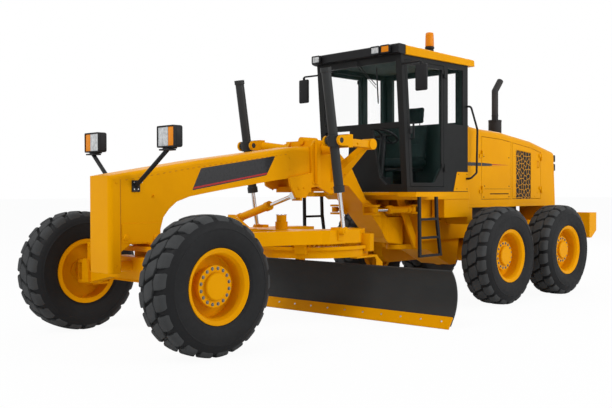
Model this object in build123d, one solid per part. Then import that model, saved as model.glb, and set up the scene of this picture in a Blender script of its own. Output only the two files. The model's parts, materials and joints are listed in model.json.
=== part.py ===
"""Motor grader: a six-wheeled articulated road grader with a drawbar, circle and blade.

Millimetres. +X is forward, +Y is the machine's left and +Z is up. The ground is Z = 0, and the
origin is the middle of the machine's length and width, on the ground.
"""
from build123d import *
from math import acos, asin, cos, hypot, pi, radians, sin, sqrt, tan
import os

os.makedirs("parts", exist_ok=True)

# ---------------------------------------------------------------- driving dimensions
WHEELBASE = 5800            # front axle to the middle of the tandems
HINGE_BACK = 4200           # front axle to the articulation pin
TANDEM_PITCH = 1590         # between the two wheels of one tandem
REAR_OVERHANG = 2310        # middle of the tandems to the face of the counterweight
TRACK = 2306                # between wheel centres, left to right
TYRE_RADIUS = 660
TYRE_WIDTH = 445
RIM_SEAT_RADIUS = 317.7     # where the bead sits
RIM_FLANGE_RADIUS = 355
RIM_HALF = 190              # half the width over the flanges
FRONT_RECESS = 70           # how far the hub's face lies behind the outer flange
REAR_RECESS = 105
HUB_RADIUS = 112
HUB_FLANGE = 194            # radius of the hub's flange with the wheel bolts
SPINDLE_RADIUS = 60

FRAME_HALF = 195            # half the width of the front frame's box beam
PIVOT_RISE = 120            # front axle's pivot above the wheels' centres
LEAN_PIVOT_Y = 820
LEAN_DROP = 60              # lean pivots below the wheels' centres
LEAN_BAR_RISE = 350         # lean bar above the lean pivots
KINGPIN_Y = 950
STEER_ARM = 225             # kingpin to tie rod pin, rearwards
TIE_ROD_DROP = 85           # tie rod below the wheels' centres
RAIL_RISE = 190             # rear frame's rails above the wheels' centres

BALL_BACK = 240             # drawbar ball behind the front axle
BALL_Z = 1000
DRAWBAR_BALL = 55
CIRCLE_BACK = 2560          # circle centre behind the front axle
CIRCLE_RADIUS = 740
RING_WALL = 104.5           # circle's ring behind the teeth
RING_TEETH = 60
PINION_TEETH = 10
PRESSURE = 25               # pressure angle of the teeth, in degrees
CIRCLE_Z = (750, 885)
CIRCLE_TURN = 2.4           # degrees that the blade stands turned at rest
BLADE_LENGTH = 3860
BLADE_TOP = 640
BLADE_CLEARANCE = 5         # edge above the ground at rest
BLADE_ARC = 400             # radius of the moldboard's curve
EDGE_LENGTH = 150
EDGE_LEAN = 36              # degrees that the cutting edge leans from upright
PLATE = 20                  # moldboard thickness
ARM_INSET = 90              # circle arms, inside the ring's edge
TILT_BACK = 2960
TILT_Z = 300

LIFT_Y = 750
YOKE_BACK = 2165
YOKE_Z = 2110
LIFT_EYE_BACK = 2330
LIFT_EYE_Z = 1070

SHIFT_BACK = 2110           # centre shift cylinder behind the front axle
SHIFT_PIN_Y = 145           # its rod's pin on the saddle
SHIFT_PIN_Z = 1480
SHIFT_EYE_Y = -880          # its barrel's eye on the drawbar
SHIFT_EYE_Z = 1185
ARTIC_FRONT = (830, 350)    # articulation cylinders' front pins, ahead of the hinge and out
ARTIC_REAR = (120, 400)     # and their rear pins
ARTIC_Z = 1290
EYE_HALF = 30               # half the width of a cylinder's eye
HINGE_OUT = 14              # a door's hinge pin outside its wall
HINGE_RADIUS = 13
SHIFT_REACH = 62            # the barrel's eye reaches this far forward towards the drawbar's ear
SHIFT_PLAY = 22             # and the ear stands this far off it

CAB_HALF = 730
CAB_FRONT = 3550            # foot of the windscreen posts, behind the front axle
CAB_LEAN = 125              # how far the windscreen posts lean forward at the top
CAB_LENGTH = 1350
FLOOR_Z = 1520
ROOF_Z = 3250
HOOD_HALF = 700
RUN = 0.3                   # seat gap between pieces that rest on each other
FIT = 0.05                  # radial clearance of a shaft in its bore

# ---------------------------------------------------------------- places along the machine
FRONT_X = (WHEELBASE + REAR_OVERHANG - TYRE_RADIUS) / 2
HINGE_X = FRONT_X - HINGE_BACK
TANDEM_X = FRONT_X - WHEELBASE
TAIL_X = TANDEM_X - REAR_OVERHANG
CIRCLE_X = FRONT_X - CIRCLE_BACK
SHIFT_X = FRONT_X - SHIFT_BACK
HALF_TRACK = TRACK / 2
AXLE_Z = TYRE_RADIUS + PIVOT_RISE
LEAN_PIVOT_Z = TYRE_RADIUS - LEAN_DROP
TIE_ROD_Z = TYRE_RADIUS - TIE_ROD_DROP
RAIL_Z = (TYRE_RADIUS + RAIL_RISE, 1130)
ARM_Y = CIRCLE_RADIUS - ARM_INSET
ROOT_RADIUS = CIRCLE_RADIUS - RING_WALL     # between the ring's teeth
MODULE = ROOT_RADIUS / (RING_TEETH / 2 + 1)
PINION_OUT = MODULE * (RING_TEETH - PINION_TEETH) / 2   # pinion ahead of the circle's centre
CAB_X = FRONT_X - CAB_FRONT
CAB_REAR_X = CAB_X - CAB_LENGTH


# ---------------------------------------------------------------- shapes
def block(x, y, z):
    """A box between two values along each axis."""
    size = [abs(b - a) for a, b in (x, y, z)]
    middle = [(a + b) / 2 for a, b in (x, y, z)]
    return Pos(*middle) * Box(*size)


def side_plate(points, y):
    """A plate whose outline is given in (X, Z), between two values of Y."""
    low, high = min(y), max(y)
    face = Plane.XZ.offset(-high) * make_face(Polyline(*points, close=True))
    return extrude(face, high - low)


def cross_plate(points, x):
    """A plate whose outline is given in (Y, Z), between two values of X."""
    low, high = min(x), max(x)
    face = Plane.YZ.offset(low) * make_face(Polyline(*points, close=True))
    return extrude(face, high - low)


def flat_plate(points, z):
    """A plate whose outline is given in (X, Y), between two values of Z."""
    low, high = min(z), max(z)
    face = Plane.XY.offset(low) * make_face(Polyline(*points, close=True))
    return extrude(face, high - low)


def bar(start, end, radius, bore=0):
    """A round bar or tube between two points."""
    start, end = Vector(*start), Vector(*end)
    section = Circle(radius)
    if bore:
        section -= Circle(bore)
    return extrude(Plane(origin=start, z_dir=end - start) * section, (end - start).length)


def bent_tube(points, radius, bend):
    """A round tube along straight runs joined by equal bends."""
    path = FilletPolyline(*points, radius=bend)
    start = Plane(origin=path @ 0, z_dir=path % 0)
    return sweep(start * Circle(radius), path=path)


def mirrored(shape):
    """The shape's mirror image, on the machine's other side."""
    return mirror(shape, Plane.XZ)


def hinge_halves(x, wall, heights, inward):
    """The fixed and the moving halves of a left door's hinges.

    The pin stands at x, outside the wall. The door lies on the side that inward points to.
    """
    fixed, moving = [], []
    y = wall + HINGE_OUT
    for z in heights:
        fixed.append(bar((x, y, z), (x, y, z + 50), HINGE_RADIUS)
                     + block((x - inward * 60, x), (wall, y), (z, z + 50)))
        moving.append(bar((x, y, z + 50 + RUN), (x, y, z + 100), HINGE_RADIUS)
                      + block((x, x + inward * 60), (wall, y), (z + 50 + RUN, z + 100)))
    return fixed, moving


def write(name, shape):
    """Write one node."""
    export_step(shape, f"parts/{name}.step")


def at(x, z):
    """A point of a side view, given behind the front axle and above the ground."""
    return (FRONT_X - x, z)


def from_hinge(x, z):
    """A point of a side view, given ahead of the articulation pin and above the ground."""
    return (HINGE_X + x, z)


# ---------------------------------------------------------------- wheels
BEAD = 168                  # half the width between the beads
WEB = 25                    # thickness of the disc, whose outer face lies at the rim's middle
HUB_INNER = 40              # how far the hub reaches inboard of the rim's middle
CAP = 35                    # how far the hub's cap stands proud
DISH = 293                  # radius of the dish behind the flared lip


def rim(recess):
    """A left rim at the origin: barrel, flanges, flared lip, disc, hub and cap turned about Y."""
    inner = RIM_SEAT_RADIUS - 13
    face = RIM_HALF - recess
    bore = SPINDLE_RADIUS + FIT
    outline = [
        (RIM_FLANGE_RADIUS, RIM_HALF), (RIM_FLANGE_RADIUS, RIM_HALF - 13),
        (RIM_SEAT_RADIUS, BEAD), (RIM_SEAT_RADIUS, -BEAD),
        (RIM_FLANGE_RADIUS, 13 - RIM_HALF), (RIM_FLANGE_RADIUS, -RIM_HALF),
        (inner, -RIM_HALF), (inner, -WEB), (HUB_RADIUS, -WEB), (HUB_RADIUS, -HUB_INNER), (bore, -HUB_INNER),
        (bore, face), (0, face), (0, face + CAP), (HUB_RADIUS + 6, face + CAP),
        (HUB_RADIUS + 16, face + CAP - 10),
        (HUB_RADIUS + 16, face), (HUB_FLANGE, face), (HUB_FLANGE, face - 36), (HUB_FLANGE - 28, face - 44),
        (HUB_FLANGE - 28, 0), (DISH - 12, 0), (DISH, 14), (DISH, RIM_HALF - 62), (DISH + 7, RIM_HALF - 42),
        (DISH + 19, RIM_HALF - 20), (RIM_FLANGE_RADIUS - 18, RIM_HALF - 5),
        (RIM_FLANGE_RADIUS - 10, RIM_HALF),
    ]
    return revolve(make_face(Polyline(*outline, close=True)), Axis.Y)


def tyre():
    """A tyre at the origin, turned about Y: beads, bulged walls, shoulders and crown."""
    inner = RIM_SEAT_RADIUS + RUN
    half = TYRE_WIDTH / 2
    wall = TYRE_RADIUS - RIM_FLANGE_RADIUS
    half_outline = [
        (inner, BEAD - 3), (RIM_FLANGE_RADIUS + 1, RIM_HALF - 16),
        (RIM_FLANGE_RADIUS + 6, RIM_HALF + 2), (RIM_FLANGE_RADIUS + 0.16 * wall, half - 9),
        (RIM_FLANGE_RADIUS + 0.4 * wall, half), (RIM_FLANGE_RADIUS + 0.66 * wall, half - 3),
        (TYRE_RADIUS - 38, half - 16), (TYRE_RADIUS - 14, half - 32), (TYRE_RADIUS, half - 95),
    ]
    outline = half_outline + [(r, -y) for r, y in reversed(half_outline)]
    return revolve(make_face(Polyline(*outline, close=True)), Axis.Y)


WHEELS = {                  # name: (X of the centre, side, recess)
    "front_left": (FRONT_X, 1, FRONT_RECESS),
    "front_right": (FRONT_X, -1, FRONT_RECESS),
    "middle_left": (TANDEM_X + TANDEM_PITCH / 2, 1, REAR_RECESS),
    "middle_right": (TANDEM_X + TANDEM_PITCH / 2, -1, REAR_RECESS),
    "rear_left": (TANDEM_X - TANDEM_PITCH / 2, 1, REAR_RECESS),
    "rear_right": (TANDEM_X - TANDEM_PITCH / 2, -1, REAR_RECESS),
}
for name, (x, side, recess) in WHEELS.items():
    for node, shape in ((f"rim_{name}", rim(recess)), (f"tyre_{name}", tyre())):
        shape = Pos(x, HALF_TRACK, TYRE_RADIUS) * shape
        write(node, shape if side > 0 else mirrored(shape))

# ---------------------------------------------------------------- front axle
AXLE_HALF = 80              # half the beam's width, fore and aft
EYE_RADIUS = 64
EAR = 28                    # thickness of fork ears
PIN = 30                    # radius of the lean pins and kingpins

beam = cross_plate(
    [(-LEAN_PIVOT_Y, LEAN_PIVOT_Z - 55), (-380, AXLE_Z - 140), (380, AXLE_Z - 140),
     (LEAN_PIVOT_Y, LEAN_PIVOT_Z - 55), (LEAN_PIVOT_Y, LEAN_PIVOT_Z + 55),
     (300, AXLE_Z + 90), (-300, AXLE_Z + 90), (-LEAN_PIVOT_Y, LEAN_PIVOT_Z + 55)],
    (FRONT_X - AXLE_HALF, FRONT_X + AXLE_HALF))
for side in (1, -1):
    eye = (side * LEAN_PIVOT_Y, LEAN_PIVOT_Z)
    beam += bar((FRONT_X - AXLE_HALF, *eye), (FRONT_X + AXLE_HALF, *eye), EYE_RADIUS)
    beam -= bar((FRONT_X - 200, *eye), (FRONT_X + 200, *eye), PIN + FIT)
# the pivot pin that the nose's two legs hold
LEG_FRONT = (310, 435)      # ahead of the front axle
LEG_REAR = (-160, -105)
beam += bar((FRONT_X + LEG_REAR[0], 0, AXLE_Z), (FRONT_X + LEG_FRONT[1] - 20, 0, AXLE_Z), 55)
write("front_axle", beam)


def lean_knuckle():
    """The left lean knuckle: a fork on the axle's eye, a kingpin boss and a lean bar fork."""
    x = (FRONT_X - AXLE_HALF - 2 - EAR, FRONT_X + AXLE_HALF + 2 + EAR)
    y, z = LEAN_PIVOT_Y, LEAN_PIVOT_Z
    top = z + LEAN_BAR_RISE
    pin = bar((x[0] - 2, y, z), (x[1] + 2, y, z), PIN)
    ear_outline = [
        (y - 55, z - 40), (y - 30, z - 48), (y + 75, z - 48), (y + 75, z + 150),
        (y + 40, z + 210), (y - 20, z + 200), (y - 55, z + 60)]
    ears = cross_plate(ear_outline, (x[0], x[0] + EAR)) + cross_plate(ear_outline, (x[1] - EAR, x[1]))
    # a block outboard and above the eye joins the ears and carries the kingpin boss
    bridge = cross_plate(
        [(y - 20, z + 120), (y + 74, z + 120), (y + 78, z - 20), (y + 120, z - 20),
         (y + 120, z + 140), (y + 60, z + 142), (y + 40, z + 210), (y - 20, z + 200)],
        (x[0] + EAR, x[1] - EAR))
    boss = bar((FRONT_X, KINGPIN_Y, z - 30), (FRONT_X, KINGPIN_Y, z + 150), 52)
    boss -= bar((FRONT_X, KINGPIN_Y, z - 40), (FRONT_X, KINGPIN_Y, z + 160), PIN + FIT)
    post = cross_plate(
        [(y - 34, top + 34), (y - 34, top - 60), (y - 20, z + 190), (y + 40, z + 190),
         (y + 34, top - 60), (y + 34, top + 34)], (FRONT_X - 62, FRONT_X + 62))
    post -= block((FRONT_X - 34, FRONT_X + 34), (y - 60, y + 60), (top - 45, top + 60))
    bridge -= bar((FRONT_X, KINGPIN_Y, z - 40), (FRONT_X, KINGPIN_Y, z + 160), PIN + FIT)
    top_pin = bar((FRONT_X - 70, y, top), (FRONT_X + 70, y, top), 16)
    return pin + ears + bridge + boss + post + top_pin


def steer_knuckle():
    """The left steering knuckle: a fork on the kingpin boss, a spindle and a steering arm."""
    z = LEAN_PIVOT_Z
    low, high = z - 30 - 1, z + 150 + 1
    spindle_end = HALF_TRACK + RIM_HALF - FRONT_RECESS - 3
    outline = [
        (FRONT_X - 58, KINGPIN_Y), (FRONT_X - 45, KINGPIN_Y - 40), (FRONT_X + 45, KINGPIN_Y - 40),
        (FRONT_X + 58, KINGPIN_Y), (FRONT_X + 75, KINGPIN_Y + 62), (FRONT_X + 75, KINGPIN_Y + 92),
        (FRONT_X - 75, KINGPIN_Y + 92), (FRONT_X - 75, KINGPIN_Y + 62)]
    ears = flat_plate(outline, (low - 38, low)) + flat_plate(outline, (high, high + 38))
    back = block((FRONT_X - 75, FRONT_X + 75), (KINGPIN_Y + 62, KINGPIN_Y + 92), (low - 38, high + 38))
    kingpin = bar((FRONT_X, KINGPIN_Y, low - 45), (FRONT_X, KINGPIN_Y, high + 45), PIN)
    spindle = bar((FRONT_X, KINGPIN_Y + 80, TYRE_RADIUS), (FRONT_X, spindle_end, TYRE_RADIUS),
                  SPINDLE_RADIUS)
    arm = flat_plate(
        [(FRONT_X - 40, KINGPIN_Y - 38), (FRONT_X - 40, KINGPIN_Y + 70),
         (FRONT_X - STEER_ARM - 26, KINGPIN_Y + 20), (FRONT_X - STEER_ARM - 26, KINGPIN_Y - 28)],
        (low - 64, low - 38))
    stud = bar((FRONT_X - STEER_ARM, KINGPIN_Y, low - 40),
               (FRONT_X - STEER_ARM, KINGPIN_Y, TIE_ROD_Z + 20), 14)
    return ears + back + kingpin + spindle + arm + stud


BALL = 26
SOCKET = 38                 # radius of the tie rod's ends
LEAN_SLACK = 12             # the right ball comes this much nearer when the wheels lean
SOCKET_PLAY = 1.5           # and it rises and falls this much against the rod
tie_left = (FRONT_X - STEER_ARM, KINGPIN_Y, TIE_ROD_Z)
tie_right = (FRONT_X - STEER_ARM, -KINGPIN_Y, TIE_ROD_Z)
left_steer = steer_knuckle()
write("lean_knuckle_left", lean_knuckle())
write("lean_knuckle_right", mirrored(lean_knuckle()))
write("steer_knuckle_left", left_steer)
write("steer_knuckle_right", mirrored(left_steer) + Pos(*tie_right) * Sphere(BALL))
stud_hole = bar((tie_left[0], tie_left[1], TIE_ROD_Z - 60), (tie_left[0], tie_left[1], TIE_ROD_Z + 21),
                14 + FIT)
write("tie_rod_ball", Pos(*tie_left) * Sphere(BALL) - stud_hole)
tie_rod = bar(tie_left, tie_right, 16)
slack_end = (tie_right[0], tie_right[1] + LEAN_SLACK, TIE_ROD_Z)
for centre in (tie_left, tie_right, slack_end):
    tie_rod += Pos(*centre) * Cylinder(SOCKET, 34)
tie_rod -= Pos(*tie_left) * Sphere(BALL + RUN)
for centre in (tie_right, slack_end):
    tie_rod -= Pos(*centre) * Sphere(BALL + SOCKET_PLAY)
tie_rod -= bar(tie_right, slack_end, BALL + SOCKET_PLAY)
write("tie_rod", tie_rod)

lean_z = LEAN_PIVOT_Z + LEAN_BAR_RISE
lean_bar = block((FRONT_X - 22, FRONT_X + 22), (-LEAN_PIVOT_Y, LEAN_PIVOT_Y), (lean_z - 26, lean_z + 26))
for side in (1, -1):
    eye = (side * LEAN_PIVOT_Y, lean_z)
    lean_bar += bar((FRONT_X - 30, *eye), (FRONT_X + 30, *eye), 38)
    lean_bar -= bar((FRONT_X - 40, *eye), (FRONT_X + 40, *eye), 16 + FIT)
write("lean_bar", lean_bar)

# ---------------------------------------------------------------- front frame
NECK_TOP = 1180
NECK_BOTTOM = 807
frame_outline = [
    (FRONT_X + 435, 1690), (FRONT_X + 320, 1710), at(670, 1868), at(2120, 2062), at(2350, 2070),
    at(2700, 2060), at(2900, 2010), at(3100, 1860), from_hinge(780, 1400), from_hinge(550, 1290),
    from_hinge(300, NECK_TOP), from_hinge(0, NECK_TOP), from_hinge(0, NECK_BOTTOM),
    from_hinge(280, 838), from_hinge(400, 912), from_hinge(775, 1271), at(3040, 1594),
    at(2340, 1729), at(1780, 1661), at(1085, 1566), at(770, 1519), at(530, 1479), at(366, 1427),
    at(270, 1355), at(197, 1270), at(160, 1150), at(160, 730), at(105, 730), at(105, 960),
    (FRONT_X, 1010), (FRONT_X + 200, 1010), (FRONT_X + 310, 940), (FRONT_X + 310, 730),
    (FRONT_X + 435, 730)]
frame = side_plate(frame_outline, (-FRAME_HALF, FRAME_HALF))
BEAM_ROUND = 45             # the plates are folded over along the beam's top and at the nose's corners
top_corners = [Vector(x, 0, z) for x, z in frame_outline[:9]]
top_edges = [e for e in frame.edges() if abs(e.center().Y) > FRAME_HALF - 1 and any(
    abs((e.center() - (a + b) / 2).X) < 1 and abs((e.center() - (a + b) / 2).Z) < 1
    for a, b in zip(top_corners, top_corners[1:]))]
nose_edges = [e for e in frame.edges().filter_by(Axis.Z) if e.center().X > FRONT_X + 430]
frame = fillet(top_edges + nose_edges, BEAM_ROUND)
# the tail narrows to the articulation boss
for side in (1, -1):
    frame -= flat_plate(
        [(HINGE_X + 520, side * (FRAME_HALF + 1)), (HINGE_X + 300, side * 118),
         (HINGE_X - 50, side * 118), (HINGE_X - 50, side * (FRAME_HALF + 1))], (700, 1500))
boss = bar((HINGE_X, 0, NECK_BOTTOM), (HINGE_X, 0, NECK_TOP), 120)
frame += boss
frame -= bar((HINGE_X, 0, 700), (HINGE_X, 0, 1300), 50 + FIT)
# bore for the axle's pivot pin through both legs
frame -= bar((FRONT_X - 200, 0, AXLE_Z), (FRONT_X + LEG_FRONT[1] - 15, 0, AXLE_Z), 55 + FIT)
# drawbar ball on a stalk behind the rear leg
ball = (FRONT_X - BALL_BACK, 0, BALL_Z)
frame += bar((FRONT_X + LEG_REAR[0] + 5, 0, BALL_Z), ball, 28)
frame += Pos(*ball) * Sphere(DRAWBAR_BALL)
for side in (1, -1):
    x, y = HINGE_X + ARTIC_FRONT[0], ARTIC_FRONT[1]
    ear_outline = [
        (x - 70, side * (FRAME_HALF - 5)), (x - 45, side * (y + 45)), (x + 45, side * (y + 45)),
        (x + 60, side * (FRAME_HALF - 5))]
    frame += flat_plate(ear_outline, (ARTIC_Z + 40, ARTIC_Z + 65))
    frame += flat_plate(ear_outline, (ARTIC_Z - 65, ARTIC_Z - 40))
    frame += side_plate(
        [(x - 70, ARTIC_Z - 65), (x + 60, ARTIC_Z - 65), (x + 70, ARTIC_Z + 80),
         (x - 50, ARTIC_Z + 80)], (side * (FRAME_HALF - 5), side * (FRAME_HALF + 15)))
write("front_frame", frame)

# ---------------------------------------------------------------- saddle
SADDLE_WALL = 30
saddle_half = FRAME_HALF + RUN
saddle_out = saddle_half + SADDLE_WALL
LOBE = [(2245, 1455), (2075, 1455)]     # front lobe, which reaches down on the left alone
saddle = None
for side, lobe in ((1, LOBE), (-1, [(2245, 1560), (2075, 1560)])):
    outline = [at(*place) for place in (
        (1965, 1690), (1985, 1600), lobe[1], lobe[0], (2330, 1575), (2442, 1590), (2655, 1500),
        (2795, 1515), (2925, 1665), (2905, 1780), (2705, 1860), (2625, 2150), (2395, 2150), (2340, 2080),
        (2350, 1760))]
    face = make_face(FilletPolyline(*outline, radius=22, close=True))
    wall = extrude(Plane.XZ.offset(-side * saddle_half) * face, -side * SADDLE_WALL)
    # an upright rib beside the beam
    wall += block((FRONT_X - 2450, FRONT_X - 2390),
                  (side * (saddle_out - 5), side * (saddle_out + 45)), (1620, 2150))
    saddle = wall if saddle is None else saddle + wall
saddle += block((FRONT_X - 2620, FRONT_X - 2400), (-saddle_out - 20, saddle_out + 20), (2070 + RUN, 2150))
saddle += bar((FRONT_X - 2640, 0, 2150), (FRONT_X - 2380, 0, 2150), 48) - block(
    (FRONT_X - 3000, FRONT_X - 2000), (-100, 100), (1900, 2070 + RUN))
# link plate and cross tube below the beam
saddle += block((FRONT_X - 2330, SHIFT_X - EYE_HALF - 35), (-saddle_out, saddle_out), (1520, 1590))
saddle += bar((FRONT_X - 2730, -saddle_out, 1560), (FRONT_X - 2730, saddle_out, 1560), 30)
# lug for the centre shift rod
lug = block((SHIFT_X - EYE_HALF - RUN - 35, SHIFT_X - EYE_HALF - RUN), (SHIFT_PIN_Y - 60, saddle_out),
            (SHIFT_PIN_Z - 60, 1560))
lug -= bar((SHIFT_X - 100, SHIFT_PIN_Y, SHIFT_PIN_Z), (SHIFT_X + 50, SHIFT_PIN_Y, SHIFT_PIN_Z), 22 + FIT)
saddle += lug
ARM_BOSS = (FRONT_X - 2900, 640, 2100)  # round boss at the rear end of a lift arm
COLLAR = 96                 # half the width of the barrel's collar with its trunnions
YOKE_X = FRONT_X - YOKE_BACK
for side in (1, -1):
    # a round arm reaches out from the saddle to the yoke round each lift barrel
    elbow = (FRONT_X - 2530, side * 400, 2060)
    saddle += bar((FRONT_X - 2530, side * (saddle_half + 10), 2060), elbow, 80)
    saddle += Pos(*elbow) * Sphere(80)
    saddle += bar(elbow, (YOKE_X - 150, side * (LIFT_Y - 60), YOKE_Z), 62)
    saddle += block((YOKE_X - 190, YOKE_X - 110), (side * (LIFT_Y - 125), side * (LIFT_Y + 125)),
                    (YOKE_Z - 75, YOKE_Z + 75))
    # the lift arm's bar runs back to its boss, and a strut comes down to the saddle's side
    boss = (ARM_BOSS[0], side * ARM_BOSS[1], ARM_BOSS[2])
    saddle += flat_plate(
        [(boss[0], boss[1] - 50), (boss[0], boss[1] + 50), (YOKE_X - 150, side * LIFT_Y + 75),
         (YOKE_X - 150, side * LIFT_Y - 75)], (ARM_BOSS[2] - 42, ARM_BOSS[2] + 42))
    saddle += bar((boss[0], boss[1] - side * 75, boss[2]), (boss[0], boss[1] + side * 80, boss[2]), 66)
    saddle += loft([
        Pos(FRONT_X - 2760, side * (saddle_half + 12), 1700) * Rot(90, 0, 0) * Rectangle(190, 150),
        Pos(boss[0] + 10, boss[1] - side * 40, boss[2] - 20) * Rot(90, 0, 0) * Rectangle(90, 70)])
    for offset in (-1, 1):
        inner = side * LIFT_Y + offset * (COLLAR + 1)
        outer = side * LIFT_Y + offset * (COLLAR + 29)
        saddle += block((YOKE_X - 150, YOKE_X), (inner, outer), (YOKE_Z - 60, YOKE_Z + 60))
        saddle += bar((YOKE_X, inner, YOKE_Z), (YOKE_X, outer, YOKE_Z), 60)
        saddle -= bar((YOKE_X, inner - offset * 5, YOKE_Z), (YOKE_X, outer + offset * 5, YOKE_Z), 32 + FIT)
write("saddle", saddle)

# ---------------------------------------------------------------- cylinders
def barrel(gland, far, radius, bore, depth):
    """A hydraulic barrel from its closed end at far to its gland, bored for the rod."""
    gland, far = Vector(*gland), Vector(*far)
    toward = (far - gland).normalized()
    shape = bar(gland, far, radius)
    shape += bar(gland, gland + toward * 70, radius + 10)
    shape += bar(far, far - toward * 50, radius + 8)
    return shape - bar(gland - toward * 5, gland + toward * depth, bore)


LIFT_ROD = 25
lift_length = hypot(LIFT_EYE_BACK - YOKE_BACK, YOKE_Z - LIFT_EYE_Z)
lift_way = ((YOKE_BACK - LIFT_EYE_BACK) / lift_length, (LIFT_EYE_Z - YOKE_Z) / lift_length)


def on_lift(distance, side):
    """A point of a lift cylinder's axis, this far below its yoke."""
    return (YOKE_X + distance * lift_way[0], side * LIFT_Y, YOKE_Z + distance * lift_way[1])


lift_barrels = []
lift_rods = []
for side in (1, -1):
    shape = barrel(on_lift(597, side), on_lift(-830, side), 55, LIFT_ROD + RUN, 940)
    shape += bar(on_lift(-60, side), on_lift(60, side), 76) - bar(on_lift(-70, side), on_lift(70, side), 50)
    for offset in (-1, 1):
        shape += bar((YOKE_X, side * LIFT_Y + offset * 60, YOKE_Z),
                     (YOKE_X, side * LIFT_Y + offset * (COLLAR + 25), YOKE_Z), 32)
    # the collar's cheeks reach the trunnions
    for offset in (-1, 1):
        shape += bar((YOKE_X, side * LIFT_Y + offset * 65, YOKE_Z),
                     (YOKE_X, side * LIFT_Y + offset * COLLAR, YOKE_Z), 45)
    lift_barrels.append(shape)
    eye = on_lift(lift_length, side)
    rod = bar(on_lift(80, side), on_lift(lift_length - 30, side), LIFT_ROD)
    rod += bar((eye[0], eye[1] - 32, eye[2]), (eye[0], eye[1] + 32, eye[2]), 48)
    rod += bar((eye[0], eye[1] + side * 40, eye[2]), (eye[0], eye[1] - side * 32, eye[2]), 24)
    lift_rods.append(rod)
write("lift_cylinder_barrels", Compound(children=lift_barrels))
write("lift_cylinder_rods", Compound(children=lift_rods))

# centre shift cylinder: the rod hangs on the saddle's lug, the barrel's eye lies at the drawbar
shift_pin = Vector(SHIFT_X, SHIFT_PIN_Y, SHIFT_PIN_Z)
shift_eye = Vector(SHIFT_X, SHIFT_EYE_Y, SHIFT_EYE_Z)
shift_way = (shift_eye - shift_pin).normalized()
shift_length = (shift_eye - shift_pin).length
gland = shift_pin + shift_way * 430
shape = barrel(gland, shift_eye - shift_way * 30, 48, LIFT_ROD + RUN, shift_length - 500)
shape += bar((SHIFT_X - EYE_HALF, SHIFT_EYE_Y, SHIFT_EYE_Z),
             (SHIFT_X + SHIFT_REACH, SHIFT_EYE_Y, SHIFT_EYE_Z), 52)
write("shift_cylinder_barrel", shape)
rod = bar(shift_pin + shift_way * 30, shift_pin + shift_way * 750, LIFT_ROD)
rod += bar((SHIFT_X - EYE_HALF, SHIFT_PIN_Y, SHIFT_PIN_Z), (SHIFT_X + EYE_HALF, SHIFT_PIN_Y, SHIFT_PIN_Z), 45)
rod += bar((SHIFT_X - EYE_HALF - 38, SHIFT_PIN_Y, SHIFT_PIN_Z), (SHIFT_X, SHIFT_PIN_Y, SHIFT_PIN_Z), 22)
write("shift_cylinder_rod", rod)

# articulation cylinders: barrels on the rear frame, rods to the neck's ears
artic_pin = Vector(HINGE_X + ARTIC_REAR[0], ARTIC_REAR[1], ARTIC_Z)
artic_eye = Vector(HINGE_X + ARTIC_FRONT[0], ARTIC_FRONT[1], ARTIC_Z)
artic_way = (artic_eye - artic_pin).normalized()
shape = barrel(artic_pin + artic_way * 470, artic_pin + artic_way * 70, 45, LIFT_ROD + RUN, 382)
shape += bar(artic_pin, artic_pin + artic_way * 75, 32)
shape += bar((artic_pin.X, artic_pin.Y, ARTIC_Z - 34), (artic_pin.X, artic_pin.Y, ARTIC_Z + 34), 50)
shape += bar((artic_pin.X, artic_pin.Y, ARTIC_Z - 62), (artic_pin.X, artic_pin.Y, ARTIC_Z + 62), 24)
rod = bar(artic_pin + artic_way * 270, artic_eye - artic_way * 20, LIFT_ROD)
rod += bar((artic_eye.X, artic_eye.Y, ARTIC_Z - 34), (artic_eye.X, artic_eye.Y, ARTIC_Z + 34), 42)
for side, place in (("left", 1), ("right", -1)):
    write(f"articulation_barrel_{side}", shape if place > 0 else mirrored(shape))
    write(f"articulation_rod_{side}", rod if place > 0 else mirrored(rod))

# ---------------------------------------------------------------- drawbar
EYE_X = FRONT_X - LIFT_EYE_BACK
DRAWBAR_Z = (920, 1080)
side_edge = [(ball[0] - 70, 75), (CIRCLE_X + 640, 560), (CIRCLE_X + 480, 640), (CIRCLE_X + 410, 700),
             (CIRCLE_X - 110, 700), (CIRCLE_X - 330, 590)]
outer = side_edge + [(x, -y) for x, y in reversed(side_edge)]
inner = [(ball[0] - 360, 35), (CIRCLE_X + 690, 445), (CIRCLE_X + 690, -445), (ball[0] - 360, -35)]
drawbar = flat_plate(outer, DRAWBAR_Z) - flat_plate(inner, (DRAWBAR_Z[0] - 1, DRAWBAR_Z[1] + 1))
drawbar -= bar((CIRCLE_X, 0, DRAWBAR_Z[0] - 1), (CIRCLE_X, 0, DRAWBAR_Z[1] + 1), CIRCLE_RADIUS - 310)
drawbar += bar((ball[0] - 90, 0, BALL_Z), (ball[0] + 50, 0, BALL_Z), 88)
drawbar -= Pos(*ball) * Sphere(DRAWBAR_BALL + RUN)
drawbar -= bar(ball, (ball[0] + 60, 0, BALL_Z), 50)
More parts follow.
